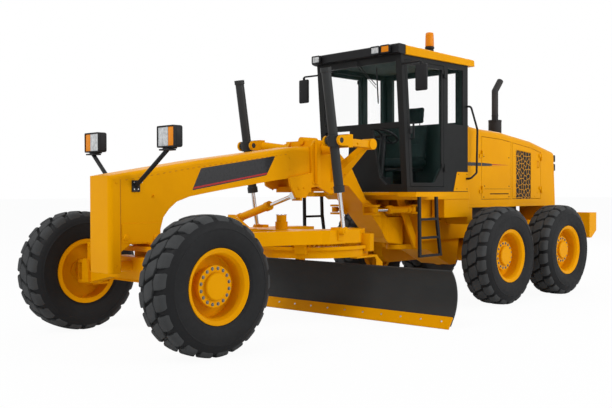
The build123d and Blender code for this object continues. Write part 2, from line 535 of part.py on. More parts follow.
# gearbox and motor of the circle's drive
drive_x = CIRCLE_X + PINION_OUT
GEARBOX = 75
SHAFT = 40
drawbar += bar((drive_x, 0, DRAWBAR_Z[1] - 10), (drive_x, 0, DRAWBAR_Z[1] + 90), GEARBOX)
drawbar += bar((drive_x, 0, DRAWBAR_Z[1] + 80), (drive_x, 0, DRAWBAR_Z[1] + 170), GEARBOX - 15)
drawbar -= bar((drive_x, 0, DRAWBAR_Z[0] - 1), (drive_x, 0, DRAWBAR_Z[1] + 22), SHAFT + FIT)
LIP = 1                     # running gap of the circle in its shoes
for angle in (35, 112, 248, 325):
    shoe = block((CIRCLE_RADIUS - 70, CIRCLE_RADIUS + 50), (-70, 70), (CIRCLE_Z[1] + RUN, DRAWBAR_Z[1] - 60))
    shoe += block((CIRCLE_RADIUS + LIP, CIRCLE_RADIUS + 50), (-70, 70), (CIRCLE_Z[1] - 75, CIRCLE_Z[1] + 10))
    shoe += block((CIRCLE_RADIUS - 32, CIRCLE_RADIUS + 50), (-70, 70),
                  (CIRCLE_Z[1] - 75, CIRCLE_Z[1] - 40 - LIP))
    shoe -= bar((0, 0, CIRCLE_Z[1] - 76), (0, 0, CIRCLE_Z[1] + RUN), CIRCLE_RADIUS + LIP) - bar(
        (0, 0, CIRCLE_Z[1] - 77), (0, 0, CIRCLE_Z[1] - 40 - LIP), CIRCLE_RADIUS + LIP + 1)
    shoe -= bar((0, 0, CIRCLE_Z[1] - 76), (0, 0, CIRCLE_Z[1] - 39), CIRCLE_RADIUS - 40 + LIP)
    drawbar += Pos(CIRCLE_X, 0, 0) * Rot(0, 0, angle) * shoe
for side in (1, -1):
    drawbar += block((EYE_X - 50, EYE_X + 50), (side * 590, side * (LIFT_Y - EYE_HALF - 2 - RUN)),
                     (960, 1110))
ear_x = SHIFT_X + SHIFT_REACH + SHIFT_PLAY
drawbar += cross_plate(
    [(-540, DRAWBAR_Z[0]), (-540, DRAWBAR_Z[1]), (SHIFT_EYE_Y + 60, SHIFT_EYE_Z + 55),
     (SHIFT_EYE_Y - 50, SHIFT_EYE_Z + 55), (SHIFT_EYE_Y - 50, SHIFT_EYE_Z - 60), (-700, DRAWBAR_Z[0])],
    (ear_x, ear_x + 35))
write("drawbar", drawbar)


# ---------------------------------------------------------------- circle and blade
def turned(shape):
    """Turned with the circle to where the blade stands at rest."""
    return Pos(CIRCLE_X, 0, 0) * Rot(0, 0, CIRCLE_TURN) * shape


TILT_X = CIRCLE_BACK - TILT_BACK        # from here on X counts from the circle's centre
EDGE_X = -105


def involute(angle):
    """How far an involute turns while its pressure angle grows to this one, in radians."""
    return tan(angle) - angle


def gear_face(teeth, tip, root, slack, turn=0.0):
    """A gear's outline: involute flanks in short straight steps from the root to the tip.

    The slack is added to each tooth's half width at the pitch circle: below zero it makes play.
    """
    pitch = MODULE * teeth / 2
    base = pitch * cos(radians(PRESSURE))
    start = max(base, root)
    radii = [start + (tip - start) * step / FLANK_STEPS for step in range(FLANK_STEPS + 1)]
    at_pitch = pi / (2 * teeth) + slack / pitch + involute(radians(PRESSURE))
    half = [at_pitch - involute(acos(base / r)) for r in radii]
    if root < base:
        radii, half = [root, *radii], [half[0], *half]
    points = []
    for tooth in range(teeth):
        middle = radians(turn) + 2 * pi * tooth / teeth
        points += [(r * cos(middle - a), r * sin(middle - a)) for r, a in zip(radii, half)]
        points += [(r * cos(middle + a), r * sin(middle + a))
                   for r, a in zip(reversed(radii), reversed(half))]
    return make_face(Polyline(*points, close=True))


FLANK_STEPS = 4
ADDENDUM = 0.8 * MODULE     # stub teeth
PLAY = 0.4                  # at each flank
ring = revolve(
    Plane.XZ * make_face(Polyline(
        (ROOT_RADIUS - 45, CIRCLE_Z[0]), (CIRCLE_RADIUS - 40, CIRCLE_Z[0]),
        (CIRCLE_RADIUS - 40, CIRCLE_Z[1] - 40), (CIRCLE_RADIUS, CIRCLE_Z[1] - 40),
        (CIRCLE_RADIUS, CIRCLE_Z[1]), (ROOT_RADIUS - 45, CIRCLE_Z[1]), close=True)), Axis.Z)
spaces = gear_face(RING_TEETH, ROOT_RADIUS, MODULE * RING_TEETH / 2 - ADDENDUM, PLAY)
circle = ring - extrude(Plane.XY.offset(CIRCLE_Z[0] - 1) * spaces, CIRCLE_Z[1] - CIRCLE_Z[0] + 2)
pinion_tip = MODULE * PINION_TEETH / 2 + ADDENDUM
pinion_root = MODULE * PINION_TEETH / 2 - MODULE
pinion = extrude(
    Plane.XY.offset(CIRCLE_Z[0] + 8)
    * gear_face(PINION_TEETH, pinion_tip, pinion_root, -PLAY, CIRCLE_TURN * RING_TEETH / PINION_TEETH),
    CIRCLE_Z[1] - CIRCLE_Z[0] - 8)
pinion = Pos(drive_x, 0, 0) * pinion
pinion += bar((drive_x, 0, CIRCLE_Z[1] - 5), (drive_x, 0, DRAWBAR_Z[1] + 20), SHAFT)
write("circle_pinion", pinion)
ARM_HALF = 30
for side in (1, -1):
    low, high = side * (ARM_Y - ARM_HALF), side * (ARM_Y + ARM_HALF)
    circle += side_plate(
        [(-30, CIRCLE_Z[0] + 5), (-430, CIRCLE_Z[0] + 5), (-430, CIRCLE_Z[0] - 20), (-30, CIRCLE_Z[0] - 20)],
        (side * (ARM_Y - 50), side * (ARM_Y + 50)))
    arm = side_plate(
        [(-390, CIRCLE_Z[0]), (-440, CIRCLE_Z[0]), (-560, CIRCLE_Z[0] - 95), (-560, 430),
         (TILT_X - 70, TILT_Z - 45), (TILT_X - 30, TILT_Z - 50), (TILT_X, TILT_Z),
         (TILT_X - 10, TILT_Z + 50), (-430, 400), (-430, CIRCLE_Z[0] - 60)], (low, high))
    arm += bar((TILT_X, low, TILT_Z), (TILT_X, high, TILT_Z), 56)
    arm -= bar((TILT_X, low - side * 5, TILT_Z), (TILT_X, high + side * 5, TILT_Z), 30 + FIT)
    circle += arm
write("circle", turned(circle))

lean = radians(EDGE_LEAN)
down = Vector(sin(lean), -cos(lean))
front = Vector(cos(lean), sin(lean))
edge_foot = Vector(EDGE_X, BLADE_CLEARANCE)
arc_foot = edge_foot - down * EDGE_LENGTH
arc_centre = arc_foot + front * BLADE_ARC
top_angle = asin((BLADE_TOP - arc_centre.Y) / BLADE_ARC)


def on_arc(radius, angle):
    """A point of the moldboard's section, at an angle above its rearmost point."""
    return (arc_centre.X - radius * cos(angle), arc_centre.Y + radius * sin(angle))


def back_x(z):
    """X of the moldboard's rear face at a height."""
    return arc_centre.X - sqrt((BLADE_ARC + PLATE) ** 2 - (z - arc_centre.Y) ** 2)


middle = (top_angle - lean) / 2
heel = arc_foot + down * (EDGE_LENGTH - 50)
heel_back = heel - front * PLATE
section = make_face([
    ThreePointArc(on_arc(BLADE_ARC, -lean), on_arc(BLADE_ARC, middle), on_arc(BLADE_ARC, top_angle)),
    Line(on_arc(BLADE_ARC, top_angle), on_arc(BLADE_ARC + PLATE, top_angle)),
    ThreePointArc(on_arc(BLADE_ARC + PLATE, top_angle), on_arc(BLADE_ARC + PLATE, middle),
                  on_arc(BLADE_ARC + PLATE, -lean)),
    Line(on_arc(BLADE_ARC + PLATE, -lean), (heel_back.X, heel_back.Y)),
    Line((heel_back.X, heel_back.Y), (heel.X, heel.Y)),
    Line((heel.X, heel.Y), on_arc(BLADE_ARC, -lean)),
])
half_blade = BLADE_LENGTH / 2
moldboard = extrude(Plane.XZ.offset(-half_blade) * section, BLADE_LENGTH)
RAIL_HALF = 25
RAILS = (230, 520)          # heights of the slide rails
rail_back = {z: back_x(z) - 45 for z in RAILS}
for z in RAILS:
    moldboard += block((rail_back[z], back_x(z) + 12), (-1500, 1500), (z - RAIL_HALF, z + RAIL_HALF))
side_z = TILT_Z + 110       # side shift cylinder, between the rails
side_x = back_x(side_z) - 58
moldboard += block((side_x - 30, back_x(side_z) + 10), (1290, 1330), (side_z - 60, side_z + 60))
moldboard += bar((side_x, 20, side_z), (side_x, 1300, side_z), 22)
write("moldboard", turned(moldboard))
edge = side_plate(
    [(edge_foot.X, edge_foot.Y), (arc_foot.X, arc_foot.Y),
     (arc_foot.X + front.X * 16, arc_foot.Y + front.Y * 16),
     (edge_foot.X + front.X * 16, edge_foot.Y + front.Y * 16)], (-half_blade, half_blade))
write("cutting_edge", turned(edge))

jaw_front = back_x(arc_centre.Y) - 8
carrier = None
for side in (1, -1):
    inner, outer = side * (ARM_Y - 90), side * (ARM_Y - 50)
    plate = side_plate(
        [(jaw_front, 175), (jaw_front, RAILS[1] + 55), (TILT_X + 20, RAILS[1] + 55),
         (TILT_X - 45, TILT_Z + 60),
         (TILT_X - 45, TILT_Z - 50), (TILT_X + 20, 175)], (inner, outer))
    for z in RAILS:
        plate -= block((rail_back[z] - RUN, 0), (inner - 100, outer + 100) if side > 0 else
                       (outer - 100, inner + 100), (z - RAIL_HALF - RUN, z + RAIL_HALF + RUN))
    plate += bar((TILT_X, inner, TILT_Z), (TILT_X, side * (ARM_Y + ARM_HALF + 12), TILT_Z), 30)
    carrier = plate if carrier is None else carrier + plate
carrier += bar((TILT_X + 15, 80 - ARM_Y, 500), (TILT_X + 15, ARM_Y - 80, 500), 34)
carrier += bar((side_x, 45 - ARM_Y, side_z), (side_x, ARM_Y - 40, side_z), 40)
carrier -= bar((side_x, 60 - ARM_Y, side_z), (side_x, ARM_Y, side_z), 22 + RUN)
write("blade_carrier", turned(carrier))

# ---------------------------------------------------------------- rear frame
RAIL_Y = (250, 330)
PIN_RADIUS = 50
EAR_Z = ((735, NECK_BOTTOM - 7), (NECK_TOP + 7, 1250))
wall_x = (HINGE_X - 190, HINGE_X - 130)
HOOD_FRONT = CAB_REAR_X - 45
HOOD_LENGTH = 2450
HOOD_REAR = HOOD_FRONT - HOOD_LENGTH
DECK_Z = (1300, 1340)
rear = block(wall_x, (-RAIL_Y[1], RAIL_Y[1]), (EAR_Z[0][0], EAR_Z[1][1]))
for low, high in EAR_Z:
    rear += flat_plate(
        [(wall_x[0], -300), (HINGE_X - 60, -150), (HINGE_X, -115), (HINGE_X, 115), (HINGE_X - 60, 150),
         (wall_x[0], 300)], (low, high))
    rear += bar((HINGE_X, 0, low), (HINGE_X, 0, high), 116)
rear += bar((HINGE_X, 0, EAR_Z[0][0]), (HINGE_X, 0, EAR_Z[1][1]), PIN_RADIUS)
for side in (1, -1):
    y = (side * RAIL_Y[0], side * RAIL_Y[1])
    rear += block((wall_x[0], TAIL_X + 200), y, RAIL_Z)
    # posts carry the cab floor and the outer plates with the articulation cylinders' ears
    for x in (wall_x[0], CAB_REAR_X + 60):
        rear += block((x - 80, x), y, (RAIL_Z[0], FLOOR_Z - 100 - RUN))
    outer_y = (side * (ARTIC_REAR[1] + 60), side * (ARTIC_REAR[1] + 85))
    rear += block((wall_x[0] - 80, HINGE_X + ARTIC_REAR[0] - 45), outer_y, (1150, FLOOR_Z - 100 - RUN))
    rear += block((wall_x[0] - 80, wall_x[0]), (side * RAIL_Y[1], outer_y[1]), (1150, FLOOR_Z - 100 - RUN))
    for low, high in ((ARTIC_Z - 62, ARTIC_Z - 37), (ARTIC_Z + 37, ARTIC_Z + 62)):
        x = HINGE_X + ARTIC_REAR[0]
        ear = flat_plate(
            [(wall_x[0] - 80, side * 340), (wall_x[0] - 80, outer_y[1]), (x + 10, outer_y[1]),
             (x + 50, side * (ARTIC_REAR[1] + 30)), (x + 50, side * (ARTIC_REAR[1] - 30)),
             (x - 60, side * 340)], (low, high))
        ear -= bar((x, side * ARTIC_REAR[1], low - 5), (x, side * ARTIC_REAR[1], high + 5), 24 + FIT)
        rear += ear
    # saddle on the axle housing
    seat = block((TANDEM_X - 150, TANDEM_X + 150), (side * (RAIL_Y[0] - 20), side * (RAIL_Y[1] + 20)),
                 (TYRE_RADIUS + 60, RAIL_Z[0] + 5))
    seat -= bar((TANDEM_X, side * 200, TYRE_RADIUS), (TANDEM_X, side * 400, TYRE_RADIUS), 130 + RUN)
    rear += seat
    # sills under the hood, on outriggers
    rear += block((HOOD_FRONT, HOOD_REAR), (side * 590, side * HOOD_HALF), (DECK_Z[0], DECK_Z[1] - RUN))
    for x in (HOOD_FRONT - 60, HOOD_REAR + 260):
        rear += block((x - 60, x + 60), (side * RAIL_Y[0], side * (HOOD_HALF - 10)),
                      (RAIL_Z[1] - 60, DECK_Z[1] - RUN))
    # slanted post under the cab, inside the articulation cylinders' sweep
    rear += side_plate(
        [(wall_x[0], 800), (wall_x[1] + 25, 744), (HINGE_X + 255, FLOOR_Z - 100 - RUN),
         (HINGE_X + 130, FLOOR_Z - 100 - RUN)], (side * 235, side * 270))
# cross members, gearbox and the guard that slopes down under it
for x in (TANDEM_X + 560, TAIL_X + 320):
    rear += block((x - 50, x + 50), (-RAIL_Y[0] - 5, RAIL_Y[0] + 5), (RAIL_Z[0] + 20, RAIL_Z[1] - 40))
rear += side_plate(
    [(wall_x[0] + 20, EAR_Z[0][0]), (HINGE_X - 400, EAR_Z[0][0] - 15), (HINGE_X - 950, 470),
     (HINGE_X - 1100, 470), (HINGE_X - 1180, 860), (wall_x[0] + 20, 860)], (-RAIL_Y[0] - 5, RAIL_Y[0] + 5))
write("rear_frame", rear)

TOW_HALF = 85               # half the width of the tow pin's notch
TOW_Z = (900, 950)
TOW_BORE = 26
counterweight = side_plate(
    [(TAIL_X, 890), (TAIL_X, 1180), (TAIL_X + 240, 1180), (TAIL_X + 240, 776), (TAIL_X + 170, 776)],
    (-1050, 1050))
counterweight -= block((TAIL_X - 1, TAIL_X + 120), (-TOW_HALF, TOW_HALF), (700, 1200))
tow_lug = block((TAIL_X + 10, TAIL_X + 125), (-TOW_HALF - 5, TOW_HALF + 5), TOW_Z)
tow_lug -= bar((TAIL_X + 62, 0, TOW_Z[0] - 5), (TAIL_X + 62, 0, TOW_Z[1] + 5), TOW_BORE)
counterweight += tow_lug
counterweight -= block((TAIL_X + 199, TAIL_X + 241), (-RAIL_Y[1] - RUN, RAIL_Y[1] + RUN),
                       (RAIL_Z[0] - 1, 1200))
write("counterweight", counterweight)

# ---------------------------------------------------------------- tandems and rear axle
CASE_Y = (730, 900)
CASE_RADIUS = 200
tandem = bar((TANDEM_X, -CASE_Y[0] - 5, TYRE_RADIUS), (TANDEM_X, CASE_Y[0] + 5, TYRE_RADIUS), 130)
tandem += Pos(TANDEM_X, 0, TYRE_RADIUS) * Sphere(185)
half_pitch = TANDEM_PITCH / 2
for side in (1, -1):
    low, high = side * CASE_Y[0], side * CASE_Y[1]
    case = side_plate(
        [(TANDEM_X - half_pitch, TYRE_RADIUS - CASE_RADIUS),
         (TANDEM_X + half_pitch, TYRE_RADIUS - CASE_RADIUS),
         (TANDEM_X + half_pitch, TYRE_RADIUS + CASE_RADIUS),
         (TANDEM_X - half_pitch, TYRE_RADIUS + CASE_RADIUS)],
        (low, high))
    for x in (TANDEM_X - half_pitch, TANDEM_X + half_pitch):
        case += bar((x, low, TYRE_RADIUS), (x, high, TYRE_RADIUS), CASE_RADIUS)
        case += bar((x, high - side * 5, TYRE_RADIUS),
                    (x, side * (HALF_TRACK + RIM_HALF - REAR_RECESS - 3), TYRE_RADIUS), SPINDLE_RADIUS)
    case += bar((TANDEM_X, side * 600, TYRE_RADIUS), (TANDEM_X, low, TYRE_RADIUS), 190)
    tandem += case
write("tandem_cases", tandem)

# ---------------------------------------------------------------- engine, hood and exhaust
engine_x = (HOOD_FRONT - 300, HOOD_REAR + 550)
write("engine", block(engine_x, (-330, 330), (RAIL_Z[1] + RUN, 1900)))

HOOD_WALL = 40
HOOD_TOP = [(0, 2440), (-325, 2410), (-855, 2390), (-1725, 2290), (-2395, 2150)]


def hood_outline(inset):
    """The hood's side view, drawn in by an inset on its ends and top."""
    top = [(HOOD_FRONT + x, z - inset) for x, z in HOOD_TOP]
    top[0] = (HOOD_FRONT - inset, top[0][1])
    top[-1] = (HOOD_REAR + 55 + inset, top[-1][1])
    return [(HOOD_FRONT - inset, DECK_Z[1] - inset)] + top + [(HOOD_REAR + inset, DECK_Z[1] - inset)]


HOOD_ROUND = 60             # radius along the hood's top edges, above the doors
hood_solid = side_plate(hood_outline(0), (-HOOD_HALF, HOOD_HALF))
hood_solid = fillet([
    e for e in hood_solid.edges() if abs(e.center().Y) > HOOD_HALF - 1 and e.center().Z > 2145
    and (e @ 0 - e @ 1).length > 200 and abs((e @ 0 - e @ 1).Z) < 0.3 * (e @ 0 - e @ 1).length], HOOD_ROUND)
hood = hood_solid - side_plate(hood_outline(HOOD_WALL), (HOOD_WALL - HOOD_HALF, HOOD_HALF - HOOD_WALL))
GAP = 6                     # gap round doors
ROOF_LINE = 105             # the side doors' top edge below the hood's top
ENGINE_DOORS = {            # name: (front edge, rear edge, hinge edge), behind the hood's front
    "engine_door": (340, 1130, 340),
    "radiator_door": (1170, 2000, 2000),
}


# the door's grille, behind the hood's front
GRILLE = [(1270, 1400), (1705, 1400), (1705, 2110), (1270, 2150)]
GRILLE_DEEP = 8


def hood_top(distance):
    """Height of the hood's top, this far behind its front."""
    for (x1, z1), (x2, z2) in zip(HOOD_TOP, HOOD_TOP[1:]):
        if -distance >= x2:
            return z1 + (z2 - z1) * (-distance - x1) / (x2 - x1)
    return HOOD_TOP[-1][1]


def side_door(front, rear, gap):
    """A hood side door's outline, drawn in by a gap."""
    knees = [-x for x, z in HOOD_TOP if front < -x < rear]
    top = [(front + gap, hood_top(front)), *[(x, hood_top(x)) for x in knees], (rear - gap, hood_top(rear))]
    points = [(front + gap, DECK_Z[1] + 70 + gap), *[(x, z - ROOF_LINE - gap) for x, z in top],
              (rear - gap, DECK_Z[1] + 70 + gap)]
    return [(HOOD_FRONT - x, z) for x, z in points]


for name, (door_front, door_rear, pin) in ENGINE_DOORS.items():
    hood -= side_plate(side_door(door_front, door_rear, 0), (HOOD_HALF - 60, HOOD_HALF + 10))
    hood -= side_plate(side_door(door_front, door_rear, 0), (-HOOD_HALF - 10, 60 - HOOD_HALF))
    leaf = side_plate(side_door(door_front, door_rear, GAP), (HOOD_HALF - 30, HOOD_HALF))
    if name == "radiator_door":
        leaf -= side_plate([(HOOD_FRONT - x, z) for x, z in GRILLE], (HOOD_HALF - GRILLE_DEEP, HOOD_HALF + 1))
    fixed, moving = hinge_halves(HOOD_FRONT - pin, HOOD_HALF, (1500, 2000), 1 if pin == door_rear else -1)
    for half in fixed:
        hood += half + mirrored(half)
    for half in moving:
        leaf += half
    write(f"{name}_left", leaf)
    write(f"{name}_right", mirrored(leaf))
hood -= block((HOOD_REAR - 10, HOOD_REAR + 110), (-520, 520), (1430, 2050))
write("hood", hood)
write("radiator_grille", block((HOOD_REAR + 30, HOOD_REAR + 55), (-519.7, 519.7), (1430.3, 2049.7)))

DRUM_RADIUS = 100
PIPE_RADIUS = 50
stack_x = HOOD_FRONT - 1490
exhaust = bar((stack_x, 200, 2250), (stack_x, 200, 2610), DRUM_RADIUS)
exhaust += bar((stack_x, 200, 2600), (stack_x, 200, 3080), PIPE_RADIUS) + Pos(stack_x, 200, 3080) * Sphere(
    PIPE_RADIUS)
exhaust += bar((stack_x, 200, 3080), (stack_x - 150, 200, 3250), PIPE_RADIUS)
exhaust -= bar((stack_x - 40, 200, 3125), (stack_x - 159, 200, 3260), PIPE_RADIUS - 6)
exhaust -= side_plate(hood_outline(-RUN), (-HOOD_HALF, HOOD_HALF))
write("exhaust", exhaust)

# ---------------------------------------------------------------- cab
WALL = 50
CAB_ROOM = ROOF_Z - FLOOR_Z


def front_x(z):
    """X of the cab's leaning front at a height."""
    return CAB_X + CAB_LEAN * (z - FLOOR_Z) / CAB_ROOM


cab = side_plate(
    [(CAB_X, FLOOR_Z), (CAB_X + CAB_LEAN, ROOF_Z), (CAB_REAR_X, ROOF_Z), (CAB_REAR_X, FLOOR_Z)],
    (-CAB_HALF, CAB_HALF))
cab -= side_plate(
    [(front_x(FLOOR_Z + 40) - WALL, FLOOR_Z + 40), (front_x(ROOF_Z + 10) - WALL, ROOF_Z + 10),
     (CAB_REAR_X + WALL, ROOF_Z + 10), (CAB_REAR_X + WALL, FLOOR_Z + 40)], (WALL - CAB_HALF, CAB_HALF - WALL))
DOOR_Z = (FLOOR_Z + 65, ROOF_Z - 60)
DOOR_REAR = CAB_X - 785
POST = 65                   # width of the windscreen posts


def door_outline_at(gap):
    """The cab door opening's outline, drawn in by a gap."""
    return [
        (front_x(DOOR_Z[0]) - POST - gap, DOOR_Z[0] + gap),
        (front_x(DOOR_Z[1]) - POST - gap, DOOR_Z[1] - gap),
        (DOOR_REAR + gap, DOOR_Z[1] - gap), (DOOR_REAR + gap, DOOR_Z[0] + gap)]


SCREEN = (FLOOR_Z + 890, ROOF_Z - 80)       # heights of the windscreen
SCREEN_HALF = CAB_HALF - 90
LOWER = (FLOOR_Z + 100, FLOOR_Z + 815)      # heights of the lower front windows
QUARTER_X = (DOOR_REAR - 95, CAB_REAR_X + 120)
QUARTER_Z = (2430, ROOF_Z - 75)
REAR_Z = (2480, ROOF_Z - 80)
lower_window = [(190, LOWER[1]), (SCREEN_HALF, LOWER[1]), (SCREEN_HALF, LOWER[0]), (370, LOWER[0]),
                (280, LOWER[0] + 90)]
for side in (1, -1):
    y = (side * (CAB_HALF - WALL - 5), side * (CAB_HALF + 5))
    cab -= side_plate(door_outline_at(0), y)
    cab -= block(QUARTER_X, y, QUARTER_Z)
    cab -= cross_plate([(side * a, z) for a, z in lower_window], (CAB_X - 100, CAB_X + 150))
cab -= block((CAB_X - 100, CAB_X + 200), (-SCREEN_HALF, SCREEN_HALF), SCREEN)
cab -= block((CAB_REAR_X - 5, CAB_REAR_X + WALL + 5), (-560, 560), REAR_Z)
CAB_HINGES = (FLOOR_Z + 270, ROOF_Z - 220)
cab_fixed, cab_moving = hinge_halves(DOOR_REAR, CAB_HALF, CAB_HINGES, 1)
for half in cab_fixed:
    cab += half + mirrored(half)
write("cab_frame", cab)

glass_in = 28               # the glass lies this deep in the cab's walls


def front_glass(z, half):
    """A leaning pane between two heights of the cab's front."""
    return side_plate(
        [(front_x(z[0]) - glass_in, z[0]), (front_x(z[1]) - glass_in, z[1]),
         (front_x(z[1]) - glass_in - 8, z[1]), (front_x(z[0]) - glass_in - 8, z[0])], half)


panes = [front_glass(SCREEN, (-SCREEN_HALF, SCREEN_HALF))]
leaning = front_glass(LOWER, (-SCREEN_HALF, SCREEN_HALF))
for side in (1, -1):
    panes.append(leaning & cross_plate([(side * a, z) for a, z in lower_window], (CAB_X - 100, CAB_X + 150)))
    panes.append(block(
        QUARTER_X, (side * (CAB_HALF - glass_in), side * (CAB_HALF - glass_in - 8)), QUARTER_Z))
panes.append(block((CAB_REAR_X + glass_in, CAB_REAR_X + glass_in + 8), (-560, 560), REAR_Z))
write("cab_glass", Compound(children=[solid for pane in panes for solid in pane.solids()]))

VISOR_X = (CAB_X + 60, CAB_X + 200)
VISOR_HALF = CAB_HALF + 22
ROOF_TOP = (ROOF_Z + 125, ROOF_Z + 95)      # at its front and its rear
roof = side_plate(
    [(VISOR_X[0], ROOF_Z + RUN), (VISOR_X[0], ROOF_TOP[0] - 3), (CAB_REAR_X - 110, ROOF_TOP[1]),
     (CAB_REAR_X - 120, ROOF_Z + RUN)], (-CAB_HALF - 30, CAB_HALF + 30))
top_face = roof.faces().sort_by(Axis.Z)[-1]
roof = fillet([e for e in top_face.edges() if e.center().X < VISOR_X[0] - 1], 28)
write("cab_roof", roof)
visor = side_plate(
    [(VISOR_X[0] + RUN, ROOF_Z + RUN), (front_x(ROOF_Z) + 20, ROOF_Z + RUN), (VISOR_X[1], ROOF_Z + 15),
     (VISOR_X[1], ROOF_TOP[0] - 12), (VISOR_X[1] - 12, ROOF_TOP[0]), (VISOR_X[0] + RUN, ROOF_TOP[0] - 3)],
    (-VISOR_HALF, VISOR_HALF))

DOOR_WALL = 40
leaf = side_plate(door_outline_at(GAP), (CAB_HALF - DOOR_WALL, CAB_HALF))
inset = door_outline_at(GAP + 50)
window = [inset[0], inset[1], inset[2], (inset[3][0], inset[3][1] + 190), (inset[3][0] + 150, inset[3][1])]
leaf -= side_plate(window, (CAB_HALF - DOOR_WALL - 5, CAB_HALF + 5))
for half in cab_moving:
    leaf += half
pane = side_plate(window, (CAB_HALF - DOOR_WALL + 12, CAB_HALF - DOOR_WALL + 20))
write("cab_door_left", leaf)
write("cab_door_right", mirrored(leaf))
write("cab_door_glass_left", pane)
write("cab_door_glass_right", mirrored(pane))

seat = block((CAB_REAR_X + 330, CAB_REAR_X + 640), (-160, 160), (FLOOR_Z + 40 + RUN, FLOOR_Z + 340))
seat += block((CAB_REAR_X + 230, CAB_REAR_X + 730), (-245, 245), (FLOOR_Z + 330, FLOOR_Z + 470))
seat += side_plate(
    [(CAB_REAR_X + 230, FLOOR_Z + 400), (CAB_REAR_X + 330, FLOOR_Z + 400), (CAB_REAR_X + 250, FLOOR_Z + 1210),
     (CAB_REAR_X + 150, FLOOR_Z + 1210)], (-220, 220))
write("cab_seat", seat)

column_head = (CAB_X - 420, 0, FLOOR_Z + 760)
console = block((CAB_X - 420, CAB_X - 240), (-130, 130), (FLOOR_Z + 40 + RUN, FLOOR_Z + 200))
console += bar((CAB_X - 330, 0, FLOOR_Z + 150), column_head, 45)
wheel_plane = Plane(origin=column_head, z_dir=Vector(-0.45, 0, 0.89))
console += wheel_plane * Torus(190, 16) + wheel_plane * Cylinder(50, 40)
console += wheel_plane * Box(360, 34, 14) + wheel_plane * Box(34, 360, 14)
write("cab_console", console)

# ---------------------------------------------------------------- floor, tanks, steps and rails
LADDER_Y = (985, 1015)
LADDER_FOOT = 710
RUNGS = (725, 950, 1180)
PLATFORM = 60               # thickness of the platform beside the cab
deck = side_plate(
    [(CAB_X + 10, FLOOR_Z - RUN), (CAB_X + 10, FLOOR_Z - 40), (CAB_X - 90, FLOOR_Z - 100),
     (CAB_REAR_X - 40, FLOOR_Z - 100), (CAB_REAR_X - 40, FLOOR_Z - RUN)], (-CAB_HALF, CAB_HALF))
for side in (1, -1):
    deck += block((CAB_X + 190, CAB_X - 430), (side * (CAB_HALF - 5), side * LADDER_Y[1]),
                  (FLOOR_Z - PLATFORM, FLOOR_Z - RUN))
    deck += block((CAB_X - 810, HOOD_FRONT + 5), (side * (ARTIC_REAR[1] + 120), side * (CAB_HALF - 10)),
                  (1175, FLOOR_Z - 95))
write("deck_and_tanks", deck)

rails = []
top = FLOOR_Z - PLATFORM - RUN
front_rail = CAB_X + 131    # stands clear of the circle when the machine bends
rear_rail = CAB_X - 220
for side in (1, -1):
    ladder_y = (side * LADDER_Y[0], side * LADDER_Y[1])
    ladder = side_plate(
        [(front_rail, top), (front_rail - 40, top), (front_rail - 50, LADDER_FOOT),
         (front_rail - 10, LADDER_FOOT)],
        ladder_y)
    ladder += side_plate(
        [(rear_rail, top), (rear_rail - 40, top), (rear_rail - 50, 1200), (rear_rail - 130, LADDER_FOOT),
         (rear_rail - 90, LADDER_FOOT), (rear_rail - 10, 1200)], ladder_y)
    for z in RUNGS:
        back = rear_rail - 30 - 90 * (1200 - z) / (1200 - LADDER_FOOT)
        ladder += block((front_rail - 25, back), ladder_y, (z - 15, z + 15))
    rails.append(ladder)
    y = side * (max(CAB_HALF, HOOD_HALF) + 70)
    wall_y = side * (CAB_HALF + RUN)
    rails.append(bent_tube(
        [(CAB_REAR_X + 40, wall_y, 1700), (CAB_REAR_X + 40, y, 1700), (CAB_REAR_X - 110, y, 1780),
         (CAB_REAR_X - 130, y, 2380), (CAB_REAR_X + 30, y, 2690), (CAB_REAR_X + 30, wall_y, 2690)], 14, 35))
    # mirror on its bent arm
    mirror_x = front_x(3100) - 25       # clear of the opening door's front edge
    mirror_y = side * (CAB_HALF + 290)
    rails.append(
        bent_tube([(mirror_x, wall_y, 3130), (mirror_x, mirror_y, 3135), (mirror_x, mirror_y, 2850)], 12, 25)
        + block((mirror_x - 22, mirror_x + 22), (mirror_y - 88, mirror_y + 88), (2769, 3097)))
write("ladders_and_handrails", Compound(children=rails))

LAMP_HALF = 60
for y in (-630, 412, 575):  # work lamps and a turn lamp in front of the visor
    visor += block((VISOR_X[1] - 5, VISOR_X[1] + 45), (y - LAMP_HALF, y + LAMP_HALF),
                   (ROOF_Z + 25, ROOF_Z + 95))
lamps = [visor]
for side in (1, -1):
    lamps.append(block((HOOD_REAR + 70, HOOD_REAR - 25), (side * 560, side * 690), (1850, 2100)) - hood_solid)
beacon = bar((CAB_X - 650, 600, ROOF_Z + 60), (CAB_X - 650, 600, ROOF_Z + 390), 65)
lamps.append(beacon - side_plate(
    [(VISOR_X[0], ROOF_Z), (VISOR_X[0], ROOF_TOP[0] - 3 + RUN), (CAB_REAR_X - 110, ROOF_TOP[1] + RUN),
     (CAB_REAR_X - 110, ROOF_Z)], (400, 800)))
write("visor_and_lamps", Compound(children=[solid for lamp in lamps for solid in lamp.solids()]))


def offset_path(points, distance):
    """A path beside one given in (X, Z), this far to its upper side, with mitred corners."""
    lines = []
    for (x1, z1), (x2, z2) in zip(points, points[1:]):
        length = hypot(x2 - x1, z2 - z1)
        nx, nz = -(z2 - z1) / length, (x2 - x1) / length
        lines.append((x1 + nx * distance, z1 + nz * distance, x2 + nx * distance, z2 + nz * distance))
    path = [lines[0][:2]]
    for (ax, az, bx, bz), (cx, cz, dx, dz) in zip(lines, lines[1:]):
        across = (bx - ax) * (dz - cz) - (bz - az) * (dx - cx)
        share = ((cx - ax) * (dz - cz) - (cz - az) * (dx - cx)) / across
        path.append((ax + share * (bx - ax), az + share * (bz - az)))
    return path + [lines[-1][2:]]


HOSE = 13
HOSE_BEND = 20
